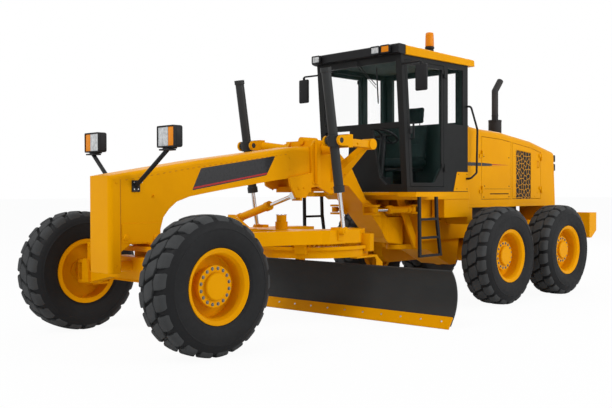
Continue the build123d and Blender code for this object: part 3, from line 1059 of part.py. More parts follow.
# along the frame's top, from the hinge to the saddle
neck_top = [*reversed(frame_outline[5:11]), at(2648, 2061.4)]
fronts = []
for y in (-90, -30, 30, 90):
    route = offset_path(neck_top, HOSE + RUN)
    fronts.append(bent_tube([(x, y, z) for x, z in route], HOSE, HOSE_BEND))
# each headlamp stands on a plate at the end of its arm
for side in (1, -1):
    foot = side * (FRAME_HALF + RUN)
    lamp = block((FRONT_X + 92, FRONT_X + 182), (foot, foot + side * 14), (1530, 1645))
    arm = bar((FRONT_X + 139, foot - side * 10, 1574), (FRONT_X + 92, side * 668, 1930), 22)
    lamp += arm - block((FRONT_X + 92, FRONT_X + 182), (0, foot), (1500, 1645))
    lamp += block((FRONT_X + 40, FRONT_X + 140), (side * 600, side * 740), (1925, 1940))
    lamp += block((FRONT_X + 60, FRONT_X + 100), (side * 640, side * 700), (1935, 1960))
    lamp += block((FRONT_X + 5, FRONT_X + 115), (side * 530, side * 810), (1955, 2165))
    fronts.append(lamp)
write("headlamps_and_hoses", Compound(children=fronts))
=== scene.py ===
import json
from math import cos, pi, radians, sin
import bmesh
import bpy
import numpy as np
from mathutils import Matrix, Vector
from mathutils.bvhtree import BVHTree


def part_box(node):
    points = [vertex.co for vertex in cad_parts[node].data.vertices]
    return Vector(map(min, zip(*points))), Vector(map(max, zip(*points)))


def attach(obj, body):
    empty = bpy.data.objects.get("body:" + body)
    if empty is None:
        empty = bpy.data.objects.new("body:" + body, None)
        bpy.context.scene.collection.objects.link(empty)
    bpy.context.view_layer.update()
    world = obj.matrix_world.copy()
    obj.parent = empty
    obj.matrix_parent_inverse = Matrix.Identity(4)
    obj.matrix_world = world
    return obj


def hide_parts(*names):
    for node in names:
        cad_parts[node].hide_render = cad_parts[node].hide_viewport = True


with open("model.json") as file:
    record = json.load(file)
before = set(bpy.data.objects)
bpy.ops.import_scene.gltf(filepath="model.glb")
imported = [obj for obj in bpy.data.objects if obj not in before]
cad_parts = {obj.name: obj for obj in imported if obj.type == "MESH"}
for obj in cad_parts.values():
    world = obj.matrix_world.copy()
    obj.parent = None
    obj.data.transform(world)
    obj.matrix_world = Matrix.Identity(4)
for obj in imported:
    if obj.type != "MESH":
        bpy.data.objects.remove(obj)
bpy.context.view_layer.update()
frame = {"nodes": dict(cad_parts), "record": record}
SIDES = {"left": 1, "right": -1}

# ---- shapes
# A shape is a pair: its points, one row each, and a list of arrays of faces.


def grid(points, wrap_rows=False, wrap_columns=False):
    """Four-sided faces between neighbouring rows and columns of a grid of points."""
    rows, columns = points.shape[:2]
    i = np.arange(rows if wrap_rows else rows - 1)
    j = np.arange(columns if wrap_columns else columns - 1)
    i, j = np.meshgrid(i, j, indexing="ij")
    below, beside = (i + 1) % rows, (j + 1) % columns
    i, below = i * columns, below * columns
    faces = np.stack([i + j, below + j, below + beside, i + beside], -1)
    return points.reshape(-1, 3), [faces.reshape(-1, 4)]


def joined(*shapes):
    """Several shapes as one: the points in a row, and each shape's faces counted on from the last."""
    points, faces, count = [], [], 0
    for own_points, own_faces in shapes:
        points.append(own_points)
        faces += [block + count for block in own_faces]
        count += len(own_points)
    return np.concatenate(points), faces


def copies(shape, centres, turns=None):
    """The shape once at each centre, turned by each three by three matrix: centre plus matrix times point."""
    points, faces = shape
    centres = np.asarray(centres, float).reshape(-1, 3)
    turned = np.broadcast_to(points, (len(centres),) + points.shape)
    if turns is not None:
        turned = np.einsum("nij,nkj->nki", np.broadcast_to(turns, (len(centres), 3, 3)), turned)
    out = turned + centres[:, None]
    step = np.arange(len(centres))[:, None, None] * len(points)
    return out.reshape(-1, 3), [(block[None] + step).reshape(-1, block.shape[1]) for block in faces]


def facing(normals):
    """Matrices whose third column is each normal, and whose other two columns are square to it."""
    w = np.atleast_2d(np.asarray(normals, float))
    w = w / np.linalg.norm(w, axis=1, keepdims=True)
    helper = np.where(np.abs(w[:, 2:]) > 0.9, [[1.0, 0, 0]], [[0, 0, 1.0]])
    u = np.cross(helper, w)
    u /= np.linalg.norm(u, axis=1, keepdims=True)
    return np.stack([u, np.cross(w, u), w], -1)


def spread(x, y, z):
    """Points from three arrays of coordinates that are drawn out to one another's shape."""
    return np.stack(np.broadcast_arrays(x, y, z), -1)


def lathe(profile, centre=(0, 0, 0), axis=(0, 0, 1), turns=48):
    """A profile of (radius, height) carried round an axis: radius times cosine and sine, height along it."""
    profile = np.asarray(profile, float)
    angle = np.linspace(0, 2 * pi, turns, endpoint=False)[:, None]
    radius, height = profile[:, 0], profile[:, 1]
    local = spread(radius * np.cos(angle), radius * np.sin(angle), height)
    return grid(local @ facing(axis)[0].T + np.asarray(centre, float), wrap_rows=True)


def prism(outline, low, high, across="y"):
    """A flat outline drawn straight from low to high along one axis, closed by its two ends."""
    outline = np.asarray(outline, float)
    count = len(outline)
    place = "xyz".index(across)
    ends = [np.insert(outline, place, at, axis=1) for at in (low, high)]
    points, faces = grid(np.stack(ends), wrap_columns=True)
    return points, faces + [np.arange(count)[None], np.arange(count, 2 * count)[None]]


def rounded_box(low, high, radius, steps=3):
    """A box with round edges: a ball's grid, each eighth of it moved out to its own corner."""
    low, high = np.asarray(low, float), np.asarray(high, float)
    quarter = np.linspace(0, pi / 2, steps + 1)
    round_ = np.concatenate([quarter + k * pi / 2 for k in range(4)])[:, None]
    up = np.concatenate([quarter - pi / 2, quarter])[None]
    normal = spread(np.cos(up) * np.cos(round_), np.cos(up) * np.sin(round_), np.sin(up))
    x = np.repeat([1, -1, -1, 1], steps + 1)[:, None]
    y = np.repeat([1, 1, -1, -1], steps + 1)[:, None]
    z = np.repeat([-1, 1], steps + 1)[None]
    points = (low + high) / 2 + spread(x, y, z) * ((high - low) / 2 - radius) + radius * normal
    shape, faces = grid(points, wrap_rows=True)
    columns = 2 * (steps + 1)
    corners = np.arange(4) * (steps + 1) * columns
    return shape, faces + [corners[None], (corners + columns - 1)[None]]


def soft_path(points, per_span=8):
    """Points along a quadratic B-spline: each span blends three neighbouring points by its three weights."""
    points = np.asarray(points, float)
    ends = np.concatenate([[2 * points[0] - points[1]], points, [2 * points[-1] - points[-2]]])
    t = np.linspace(0, 1, per_span, endpoint=False)[None, :, None]
    a, b, c = ends[:-2, None], ends[1:-1, None], ends[2:, None]
    line = (0.5 * (1 - t) ** 2 * a + (0.5 + t - t * t) * b + 0.5 * t * t * c).reshape(-1, 3)
    return line[per_span // 2: len(line) - per_span // 2 + 1]


def tube(path, radius, sides=10):
    """A ring carried along a path: each ring lies square to the path, from one fixed helper direction."""
    path = np.asarray(path, float)
    along = np.gradient(path, axis=0)
    along /= np.linalg.norm(along, axis=1, keepdims=True)
    helper = np.eye(3)[int(np.argmin(np.abs(along).max(0)))]
    u = np.cross(along, helper)
    u /= np.linalg.norm(u, axis=1, keepdims=True)
    v = np.cross(along, u)
    angle = np.linspace(0, 2 * pi, sides, endpoint=False)[None, :, None]
    radius = np.broadcast_to(np.asarray(radius, float), len(path))[:, None, None]
    rings = path[:, None] + radius * (np.cos(angle) * u[:, None] + np.sin(angle) * v[:, None])
    points, faces = grid(rings, wrap_columns=True)
    return points, faces + [np.arange(sides)[None], np.arange(len(points) - sides, len(points))[None]]


def bolt(size):
    """A washer and a six-sided head with a chamfered top, standing on the origin along Z."""
    head = lathe([(0, 0.72), (0.78, 0.72), (0.95, 0.6), (0.95, 0.1)], turns=6)
    washer = lathe([(0.4, 0.14), (1.2, 0.14), (1.3, 0.06), (1.3, -0.1)], turns=14)
    points, faces = joined(head, washer)
    return points * size, faces


def bolt_circle(count, radius, first=0.0):
    """Two coordinates of a ring of bolts, the first of them turned by a part of a step."""
    angle = (np.arange(count) + first) * 2 * pi / count
    return radius * np.cos(angle), radius * np.sin(angle)


def soft_outline(corners, radius, steps=5):
    """A flat outline with round corners: each is a quadratic curve between two points a radius from it."""
    corners = np.asarray(corners, float)
    t = np.linspace(0, 1, steps)[None, :, None]
    before, after = np.roll(corners, 1, 0) - corners, np.roll(corners, -1, 0) - corners
    before *= radius / np.linalg.norm(before, axis=1, keepdims=True)
    after *= radius / np.linalg.norm(after, axis=1, keepdims=True)
    curve = corners[:, None] + (1 - t) ** 2 * before[:, None] + t ** 2 * after[:, None]
    return curve.reshape(-1, 2)


def rectangle(low, high, radius=0.0, steps=5):
    """A flat rectangle between two corners, with round corners where a radius is given."""
    (a, b), (c, d) = low, high
    corners = [(a, b), (c, b), (c, d), (a, d)]
    return soft_outline(corners, radius, steps) if radius else np.array(corners, float)


def surround(outer, inner, low, high, across="x"):
    """A flat frame between two outlines of as many points, drawn from low to high along one axis."""
    place = "xyz".index(across)
    rings = [np.insert(outline, place, at, axis=1)
             for outline, at in ((outer, low), (outer, high), (inner, high), (inner, low))]
    return grid(np.stack(rings), wrap_rows=True, wrap_columns=True)


def middle(low, high):
    """The middle between a box's two corners."""
    return np.array((low + high) / 2)


def cad_mesh(node):
    """A CAD node's points, and its triangles' corners."""
    mesh = frame["nodes"][node].data
    return np.array([v.co for v in mesh.vertices]), np.array([tuple(p.vertices) for p in mesh.polygons])


def cad_part(node, keep):
    """The faces of a CAD node whose middles keep allows, given their X, Y and Z, as a shape of its own."""
    points, corners = cad_mesh(node)
    used, faces = np.unique(corners[keep(*points[corners].mean(1).T)], return_inverse=True)
    return points[used], [faces.reshape(-1, 3)]


TREES = {}


def onto(node, start, way):
    """Where a line from start along way first meets a CAD node, and the surface's direction there."""
    if node not in TREES:
        points, corners = cad_mesh(node)
        TREES[node] = BVHTree.FromPolygons(points.tolist(), corners.tolist())
    place, direction, _, _ = TREES[node].ray_cast(Vector(start), Vector(way))
    if place is None:
        raise ValueError(f"{node} isn't met from {start}")
    return np.array(place), np.array(direction)


def set_on(node, starts, way, shape):
    """Copies of a shape, each standing on a CAD node where the line from its start along way meets it."""
    places, directions = zip(*(onto(node, start, way) for start in starts))
    return copies(shape, places, facing(directions))


def side_sheet(node, outline, side, thick=0.001, sunk=0.001, touch=None):
    """A thin flat sheet on a CAD node's side: its outline in X and Z, drawn out from the surface at touch."""
    x, z = np.mean(outline, axis=0) if touch is None else touch
    y = onto(node, (x, side * 1.5, z), (0, -side, 0))[0][1]
    return prism(outline, y - side * sunk, y + side * thick)


def piece(name, shape, finish, body, sharp=38):
    """A mesh object made of a shape, riding on a body: smooth faces, and edges sharp past an angle."""
    points, faces = shape
    mesh = bpy.data.meshes.new(name)
    mesh.from_pydata(points.tolist(), [], [row for block in faces for row in block.tolist()])
    form = bmesh.new()
    form.from_mesh(mesh)
    bmesh.ops.remove_doubles(form, verts=form.verts, dist=2e-5)
    bmesh.ops.recalc_face_normals(form, faces=form.faces)
    form.to_mesh(mesh)
    form.free()
    mesh.polygons.foreach_set("use_smooth", np.ones(len(mesh.polygons), bool))
    mesh.set_sharp_from_angle(angle=radians(sharp))
    thing = bpy.data.objects.new(name, mesh)
    bpy.context.scene.collection.objects.link(thing)
    mesh.materials.append(finish)
    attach(thing, body)
    return thing


# ---- finishes
def link(tree, a, b):
    """Join two sockets."""
    tree.links.new(a, b)


def fill(node, **values):
    """Set a node's inputs by their names."""
    for name, value in values.items():
        node.inputs[name.replace("_", " ")].default_value = value


def add(tree, kind, **values):
    """A node with its named inputs set."""
    node = tree.nodes.new(kind)
    fill(node, **values)
    return node


def position(tree):
    """The socket that holds the place in the piece's own coordinates."""
    return tree.nodes.new("ShaderNodeTexCoord").outputs["Object"]


def apart(tree):
    """The sockets that hold the place's X, Y and Z."""
    split = tree.nodes.new("ShaderNodeSeparateXYZ")
    link(tree, position(tree), split.inputs[0])
    return split.outputs


def coarse_noise(tree, scale, detail=4.0):
    """A noise in the piece's own coordinates, as a value about one half."""
    noise = add(tree, "ShaderNodeTexNoise", Scale=scale, Detail=detail, Roughness=0.55)
    link(tree, position(tree), noise.inputs["Vector"])
    return noise.outputs["Fac"]


def scaled(tree, value, low, high, start=0.3, end=0.7):
    """The value's part from start to end spread from low to high."""
    spread = tree.nodes.new("ShaderNodeMapRange")
    for socket, number in zip(spread.inputs[1:5], (start, end, low, high)):
        socket.default_value = number
    link(tree, value, spread.inputs[0])
    return spread.outputs[0]


def computed(tree, operation, a, b=0.0):
    """A sum of one operation, each of whose inputs is a socket or a number."""
    made = tree.nodes.new("ShaderNodeMath")
    made.operation = operation
    for socket, value in zip(made.inputs, (a, b)):
        if isinstance(value, bpy.types.NodeSocket):
            link(tree, value, socket)
        else:
            socket.default_value = value
    return made.outputs[0]


def new_material(name):
    """A material with its tree and its shader."""
    made = bpy.data.materials.new(name)
    made.use_nodes = True
    return made, made.node_tree, made.node_tree.nodes["Principled BSDF"]


def led_out(tree, share, one, two, output):
    """Lead one shader, turning into another as share goes from 0 to 1, to an output's surface."""
    mix = tree.nodes.new("ShaderNodeMixShader")
    for source, socket in zip((share, one.outputs[0], two.outputs[0]), mix.inputs):
        link(tree, source, socket)
    link(tree, mix.outputs[0], tree.nodes[output].inputs["Surface"])


def blended(tree, share, a, b):
    """One colour turning into another as share goes from 0 to 1."""
    mix = tree.nodes.new("ShaderNodeMix")
    mix.data_type = "RGBA"
    link(tree, share, mix.inputs["Factor"])
    for socket, colour in ((mix.inputs[6], a), (mix.inputs[7], b)):
        if isinstance(colour, bpy.types.NodeSocket):
            link(tree, colour, socket)
        else:
            socket.default_value = (*colour, 1)
    return mix.outputs[2]


def finish(name, colour, rough, metal=0.0, other=None, patch=1.6, grain=500.0, relief=0.0003,
           swing=0.06, coat=0.0, edge=0.0, shine=0.16, glint=(1, 1, 1)):
    """A finish: two close colours in soft patches, roughness that wanders, a fine grain and soft edges."""
    made, tree, shader = new_material(name)
    fill(shader, Metallic=metal, Specular_IOR_Level=0.5 if metal else shine, Specular_Tint=(*glint, 1),
         Coat_Weight=coat, Coat_Roughness=0.12)
    soft = coarse_noise(tree, patch)
    other = other or [c * 0.86 for c in colour]
    link(tree, blended(tree, scaled(tree, soft, 0, 1), colour, other), shader.inputs["Base Color"])
    wander = scaled(tree, coarse_noise(tree, patch * 7), rough - swing, rough + swing)
    link(tree, wander, shader.inputs["Roughness"])
    bump = add(tree, "ShaderNodeBump", Strength=0.5, Distance=relief)
    link(tree, coarse_noise(tree, grain, 2.0), bump.inputs["Height"])
    if edge:
        bevel = tree.nodes.new("ShaderNodeBevel")
        bevel.samples = 4
        bevel.inputs["Radius"].default_value = edge
        link(tree, bevel.outputs[0], bump.inputs["Normal"])
    link(tree, bump.outputs[0], shader.inputs["Normal"])
    return made


YELLOW = (0.80, 0.345, 0.001)
paint = finish("yellow_paint", YELLOW, 0.34, other=(0.74, 0.305, 0.001), edge=0.006, relief=0.0002,
               shine=0.07, glint=(1.0, 0.55, 0.10))
graphite = finish("graphite_paint", (0.036, 0.037, 0.0366), 0.42, other=(0.028, 0.029, 0.029), grain=900,
                  edge=0.005, shine=0.12)
black_paint = finish("black_paint", (0.013, 0.013, 0.014), 0.42, edge=0.004, grain=800)
exhaust_black = finish("exhaust_black", (0.022, 0.022, 0.024), 0.6, other=(0.04, 0.036, 0.034), edge=0.004)
iron = finish("cast_iron", (0.06, 0.06, 0.065), 0.6, grain=250, relief=0.0006)
steel = finish("zinc_steel", (0.55, 0.54, 0.52), 0.32, metal=1.0, grain=700, edge=0.002)
dull_steel = finish("dull_steel", (0.17, 0.165, 0.155), 0.4, metal=0.6, grain=700, edge=0.002)
chrome = finish("chrome_rod", (0.78, 0.78, 0.79), 0.12, metal=1.0, swing=0.04, grain=900, relief=0.00003)
mirror = finish("mirror_silver", (0.85, 0.86, 0.87), 0.04, metal=1.0, swing=0.02, grain=40, relief=0.00001)
tread_rubber = finish("tread_rubber", (0.054, 0.055, 0.0555), 0.74, other=(0.038, 0.039, 0.0395), patch=5,
                      grain=320, relief=0.0006)
wall_rubber = finish("sidewall_rubber", (0.012, 0.0122, 0.013), 0.62, other=(0.009, 0.009, 0.0095), patch=4,
                     grain=420)
hose_rubber = finish("hose_rubber", (0.014, 0.014, 0.015), 0.5, other=(0.010, 0.010, 0.011), grain=600,
                     relief=0.0004)
black_plastic = finish("black_plastic", (0.012, 0.012, 0.013), 0.5, grain=1200, edge=0.003)
cloth = finish("seat_cloth", (0.018, 0.034, 0.032), 0.85, other=(0.012, 0.024, 0.023), grain=1500,
               relief=0.0008)
lining = finish("cab_lining", (0.046, 0.078, 0.072), 0.7, other=(0.038, 0.066, 0.060), grain=700)
amber = finish("amber_lens", (0.78, 0.24, 0.004), 0.25, coat=0.15, grain=60, relief=0.0006,
               glint=(1.0, 0.6, 0.2))
red_lens = finish("red_lens", (0.30, 0.01, 0.008), 0.25, coat=0.2, grain=60, relief=0.0006)
clear_lens = finish("clear_lens", (0.66, 0.67, 0.67), 0.12, other=(0.34, 0.35, 0.35), coat=0.5, patch=30,
                    grain=90, relief=0.001)
FILM = {"coat": 0.4, "patch": 3, "grain": 900, "relief": 0.00005, "swing": 0.03}
decal_black = finish("decal_black", (0.016, 0.016, 0.018), 0.28, **FILM)
decal_red = finish("decal_red", (0.42, 0.008, 0.010), 0.30, **FILM)
# near-black film for the door's slot and panel seam: painted shade in the gaps
painted_gap_shade = finish("seam_shadow", (0.010, 0.008, 0.005), 0.8, grain=900)
weld_paint = finish("weld_paint", (0.56, 0.23, 0.004), 0.45, other=(0.42, 0.16, 0.004), patch=9, grain=200,
                    relief=0.0008)


def grille_with_hole_shade():
    """Yellow sheet with holes like pebbles, whose dark colour is painted shade: cells, cut where they are a
    web's width from their edges.
    """
    made = finish("pebble_grille", YELLOW, 0.42, other=(0.66, 0.27, 0.004))
    tree = made.node_tree
    shader = tree.nodes["Principled BSDF"]
    flat = tree.nodes.new("ShaderNodeCombineXYZ")
    x, _, z = apart(tree)
    link(tree, x, flat.inputs["X"])
    link(tree, z, flat.inputs["Y"])
    cells = add(tree, "ShaderNodeTexVoronoi", Scale=14.0, Randomness=0.8)
    cells.voronoi_dimensions = "2D"
    cells.feature = "DISTANCE_TO_EDGE"
    link(tree, flat.outputs[0], cells.inputs["Vector"])
    # the mask of the holes, which get a near-black colour as painted shade for the dark seen through them
    hole_shade = scaled(tree, cells.outputs["Distance"], 0.0, 1.0, 0.055, 0.080)
    painted = shader.inputs["Base Color"].links[0].from_socket
    link(tree, blended(tree, hole_shade, painted, (0.006, 0.005, 0.004)), shader.inputs["Base Color"])
    dip = add(tree, "ShaderNodeBump", Strength=1.0, Distance=0.006)
    dip.invert = True
    link(tree, scaled(tree, cells.outputs["Distance"], 0.0, 1.0, 0.04, 0.09), dip.inputs["Height"])
    link(tree, shader.inputs["Normal"].links[0].from_socket, dip.inputs["Normal"])
    link(tree, dip.outputs[0], shader.inputs["Normal"])
    return made


pebble_grille = grille_with_hole_shade()


def tinted_glass():
    """Thin green glass: mostly see-through, with a clean coat that mirrors."""
    made, tree, shader = new_material("tinted_glass")
    patches = scaled(tree, coarse_noise(tree, 2.0), 0, 1)
    colour = blended(tree, patches, (0.03, 0.10, 0.088), (0.025, 0.085, 0.075))
    link(tree, colour, shader.inputs["Base Color"])
    fill(shader, Roughness=0.02, Specular_IOR_Level=0.25, Alpha=0.012)
    return made


glass = tinted_glass()


def cab_finish():
    """Nearly black paint outside, and a green lining inside: a mask of the place across and along the cab."""
    made = finish("cab_paint", (0.018, 0.0185, 0.0185), 0.42, other=(0.014, 0.0145, 0.0145), grain=900,
                  edge=0.005, shine=0.09)
    tree = made.node_tree
    shader = tree.nodes["Principled BSDF"]
    low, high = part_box("cab_frame")
    wall = onto("cab_frame", (low[0] + 0.2, 1.5, 1.9), (0, -1, 0))[0][1]
    x, y, _ = apart(tree)
    across = scaled(tree, computed(tree, "ABSOLUTE", y), 1.0, 0.0, wall - 0.024, wall - 0.016)
    along = scaled(tree, x, 1.0, 0.0, high[0] - 0.32, high[0] - 0.26)
    inside = computed(tree, "MULTIPLY", across, along)
    outside = shader.inputs["Base Color"].links[0].from_socket
    link(tree, blended(tree, inside, outside, (0.026, 0.046, 0.042)), shader.inputs["Base Color"])
    return made


cab_paint = cab_finish()
FINISHES = {
    "yellow_paint": paint, "graphite_paint": graphite, "black_paint": black_paint,
    "exhaust_paint": exhaust_black,
    "cast_iron": iron, "steel": steel, "chrome": chrome, "tyre": wall_rubber, "glass": glass, "fabric": cloth,
    "black_plastic": black_plastic, "lamp_plastic": black_plastic,
}
for row in frame["record"]["subparts"]:
    node = frame["nodes"][row["node"]]
    node.data.materials.clear()
    in_cab = row["node"].startswith("cab_") and row["material_slot"] == "graphite_paint"
    node.data.materials.append(cab_paint if in_cab else FINISHES[row["material_slot"]])

# ---- tyres
PITCHES = 21                # tread blocks round a tyre
TREAD_DEPTH = 0.030
TYRE_RADIUS = 0.660
CROWN, BEND, LEAN = 0.128, 0.062, radians(66)   # half the flat crown, the length of the bend, and its turn


def envelope(s):
    """Radius and width of the tread's surface, s metres from the crown's middle, and the normal there."""
    s = np.asarray(s, float)
    turn = np.clip((s - CROWN) / BEND, 0, 1) * LEAN
    arc = BEND / LEAN
    past = np.clip(s - CROWN - BEND, 0, None)
    flat = np.minimum(s, CROWN)
    width = flat + arc * np.sin(turn) + past * cos(LEAN)
    radius = TYRE_RADIUS - 0.006 * (flat / CROWN) ** 2 - arc * (1 - np.cos(turn)) - past * sin(LEAN)
    return radius, width, np.sin(turn), np.cos(turn)


def block_rows(s_in, s_out, start, lead, share, offset, rows=5, columns=5, sag=0.0):
    """Tread blocks as grids: a top that follows the tyre's outer surface inside two rings that drop into it.

    s_in and s_out give the block's inner and outer edge for each place along its width, and lead how far the
    block runs round the tyre between them, as a share of a pitch.
    """
    u = np.concatenate([[0, 0.0, 0.045], np.linspace(0.12, 0.88, rows), [0.955, 1, 1.0]])[:, None]
    v = np.concatenate([[0, 0.0, 0.08], np.linspace(0.2, 0.8, columns), [0.92, 1, 1.0]])[None]
    edge = np.minimum(np.minimum(u, 1 - u) / 0.045, np.minimum(v, 1 - v) / 0.08).clip(0, 1)
    deep = np.zeros_like(edge)
    deep[0], deep[-1], deep[:, 0], deep[:, -1] = 1, 1, 1, 1
    s = s_in(v) + (s_out(v) - s_in(v)) * u
    height = -0.005 * (1 - edge) - (TREAD_DEPTH + 0.012) * deep - sag * np.clip((u - 0.8) / 0.2, 0, 1)
    wide = share * (1 + 0.06 * deep)
    turn = offset + lead * (u - 0.5) + start(u) + (v - 0.5) * wide
    angle = (np.arange(PITCHES)[:, None, None] + turn) * 2 * pi / PITCHES
    radius, width, out_y, out_r = envelope(s)
    r, y = radius + height * out_r, width + height * out_y
    return spread(r * np.cos(angle), y, r * np.sin(angle))


def blocks(rows):
    """The blocks of one row of tread as one shape: a grid for each pitch."""
    shape, faces = grid(rows[0])
    step = np.arange(len(rows))[:, None, None] * len(shape)
    return rows.reshape(-1, 3), [(faces[0][None] + step).reshape(-1, 4)]


def carcass():
    """The tyre under its tread, turned about Y: beads, bulged walls with two ribs, and the tread's floor."""
    outer = np.array([
        (0.318, 0.160), (0.340, 0.170), (0.357, 0.178), (0.361, 0.192), (0.372, 0.1985), (0.381, 0.2035),
        (0.386, 0.2075), (0.396, 0.2085), (0.420, 0.2150), (0.450, 0.2200), (0.476, 0.2218), (0.500, 0.2222),
        (0.518, 0.2218), (0.526, 0.2215), (0.529, 0.2240), (0.535, 0.2240), (0.538, 0.2205), (0.552, 0.2170),
        (0.570, 0.2080), (0.590, 0.1960),
        (0.610, 0.1800), (0.6225, 0.158), (0.628, 0.128), (0.630, 0.06), (0.6302, 0.0)])
    outer[:, 1] *= 0.993
    profile = np.concatenate([outer, outer[-2::-1] * (1, -1)])
    return lathe(profile, axis=(0, 1, 0), turns=126)


def tread(side):
    """The tread: a row of six-sided blocks on the crown and two rows of shoulder blocks that wrap down."""
    def reach(v):
        """Half the crown block's length along the axle, longest at its middle."""
        return 0.052 + 0.020 * (1 - np.abs(2 * v - 1))

    centre = blocks(block_rows(lambda v: -reach(v), reach, lambda u: 0.0, 0.30 * side, 0.80, 0.0, rows=6))
    shoulders = []
    for edge in (1, -1):
        rows = block_rows(
            lambda v: 0.066 + 0.018 * np.abs(2 * v - 1), lambda v: 0.250 + 0 * v,
            lambda u: 0.10 * (u - 0.5) ** 2, 0.16 * edge * side, 0.74, 0.5, rows=9, sag=0.010)
        rows[..., 1] *= edge
        shoulders.append(blocks(rows))
    return joined(centre, *shoulders)


WHEELS = {}                 # each wheel's name and its centre, from its tyre's box
for node in sorted(frame["nodes"]):
    if node.startswith("tyre_"):
        WHEELS[node[5:]] = middle(*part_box(node))
for wheel, centre in WHEELS.items():
    side = SIDES[wheel.split("_")[1]]
    body = f"wheel_{wheel}"
    walls = piece(f"tyre_walls_{wheel}", copies(carcass(), [centre]), wall_rubber, body)
    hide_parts(f"tyre_{wheel}")
    piece(f"tyre_tread_{wheel}", copies(tread(side), [centre]), tread_rubber, body, sharp=30)

# ---- wheels' bolts
for wheel, centre in WHEELS.items():
    side = SIDES[wheel.split("_")[1]]
    x, z = bolt_circle(16, 0.167, 0.5)
    starts = centre + spread(x, side * 0.5, z)
    piece(f"hub_bolts_{wheel}", set_on(f"rim_{wheel}", starts, (0, -side, 0), bolt(0.0135)), dull_steel,
          f"wheel_{wheel}")

# ---- front frame
AXLE = WHEELS["front_left"][0]
# places on the front frame's side, each as X from the axle and the height
BEAM_TOP = np.array([(0.32, 1.710), (-0.67, 1.868), (-2.12, 2.062), (-2.30, 2.068)])
DECAL = np.array([(-0.566, 1.545), (-1.627, 1.716), (-1.766, 1.940), (-0.685, 1.780)])
NOSE_PLATE = np.array([(0.300, 1.022), (0.300, 1.215), (-0.150, 1.215), (-0.150, 0.80), (-0.112, 0.80),
                       (-0.112, 0.975), (0.0, 1.022)])
PINS = [(0.251, 1.075), (-0.10, 1.060)]
LIFTING_EYE = (-0.07, 1.488)
SMALL_BOLTS = [(0.36, 0.80), (0.36, 1.62), (-0.13, 0.84), (-0.13, 1.18), (0.27, 1.18), (-0.05, 1.18),
               (0.10, 1.18), (-2.0, 1.80), (-2.0, 1.92)]
FOOT_BOLTS = [(0.115, 1.555), (0.160, 1.555), (0.115, 1.622), (0.160, 1.622)]
SADDLE_BOLTS = [(-2.115, 1.565), (-2.205, 1.575), (-2.70, 1.565), (-2.775, 1.585), (-2.845, 1.665),
                (-2.835, 1.745), (-2.365, 1.63), (-2.56, 2.09), (-2.47, 1.72)]
RED_BAND = (0.06, 0.145)    # heights of the decal's red band, as shares of its own
BEAD_GAP = 0.075            # from one stitch weld under the top plate to the next
beam_half = onto("front_frame", (AXLE - 1.0, 1, 1.7), (0, -1, 0))[0][1]


def from_the_side(node, places, side, shape):
    """Copies of a shape on a CAD node's side, at places given from the axle."""
    return set_on(node, [(AXLE + x, side * 1.2, z) for x, z in places], (0, -side, 0), shape)


for name, side in SIDES.items():
    decal = DECAL + (AXLE, 0)
    piece(f"beam_panel_{name}", side_sheet("front_frame", soft_outline(decal, 0.018), side), decal_black,
          "front")
    low = decal[0] + np.outer(RED_BAND, decal[3] - decal[0])
    high = decal[1] + np.outer(RED_BAND, decal[2] - decal[1])
    band = [low[0] + (-0.004, 0), high[0], high[1], low[1] + (-0.004, 0)]
    piece(f"beam_stripe_{name}", side_sheet("front_frame", band, side, thick=0.0016), decal_red, "front")
    plate = side_sheet("front_frame", soft_outline(NOSE_PLATE + (AXLE, 0), 0.012), side, thick=0.006,
                       touch=(AXLE, 1.12))
    piece(f"nose_plate_{name}", plate, paint, "front")
    out = side * beam_half
    weld = tube([(AXLE + 0.312, out, z) for z in np.linspace(0.76, 1.655, 20)], 0.0045, 8)
    x = np.arange(0.24, -1.95, -BEAD_GAP)
    line = np.interp(x, BEAM_TOP[::-1, 0], BEAM_TOP[::-1, 1]) - 0.072
    slope = np.gradient(line, x)
    bead = lathe([(0, -0.018), (0.0035, -0.014), (0.0035, 0.014), (0, 0.018)], turns=8)
    beads = copies(bead, spread(AXLE + x, out, line), facing(spread(1, 0 * x, slope)))
    piece(f"beam_welds_{name}", joined(weld, beads), weld_paint, "front")
    boss = lathe([(0, 0.020), (0.026, 0.020), (0.032, 0.014), (0.034, 0.004), (0.034, -0.002)], turns=24)
    heads = from_the_side("front_frame", PINS, side, joined(boss, copies(bolt(0.012), [(0, 0, 0.019)])))
    eye = lathe([(0.010, -0.006), (0.016, 0), (0.010, 0.006), (0.006, 0)],
                (AXLE + LIFTING_EYE[0], side * (beam_half + 0.012), LIFTING_EYE[1]), (1, 0, 0.3), 20)
    small = from_the_side("front_frame", SMALL_BOLTS, side, bolt(0.0085))
    piece(f"beam_bolts_{name}", joined(heads, eye, small), paint, "front")
    feet = from_the_side("headlamps_and_hoses", FOOT_BOLTS, side, bolt(0.006))
    piece(f"lamp_foot_bolts_{name}", feet, steel, "front")
    piece(f"saddle_bolts_{name}", from_the_side("saddle", SADDLE_BOLTS, side, bolt(0.0145)), paint, "front")


# ---- headlamps
LENS_STEPS = 13


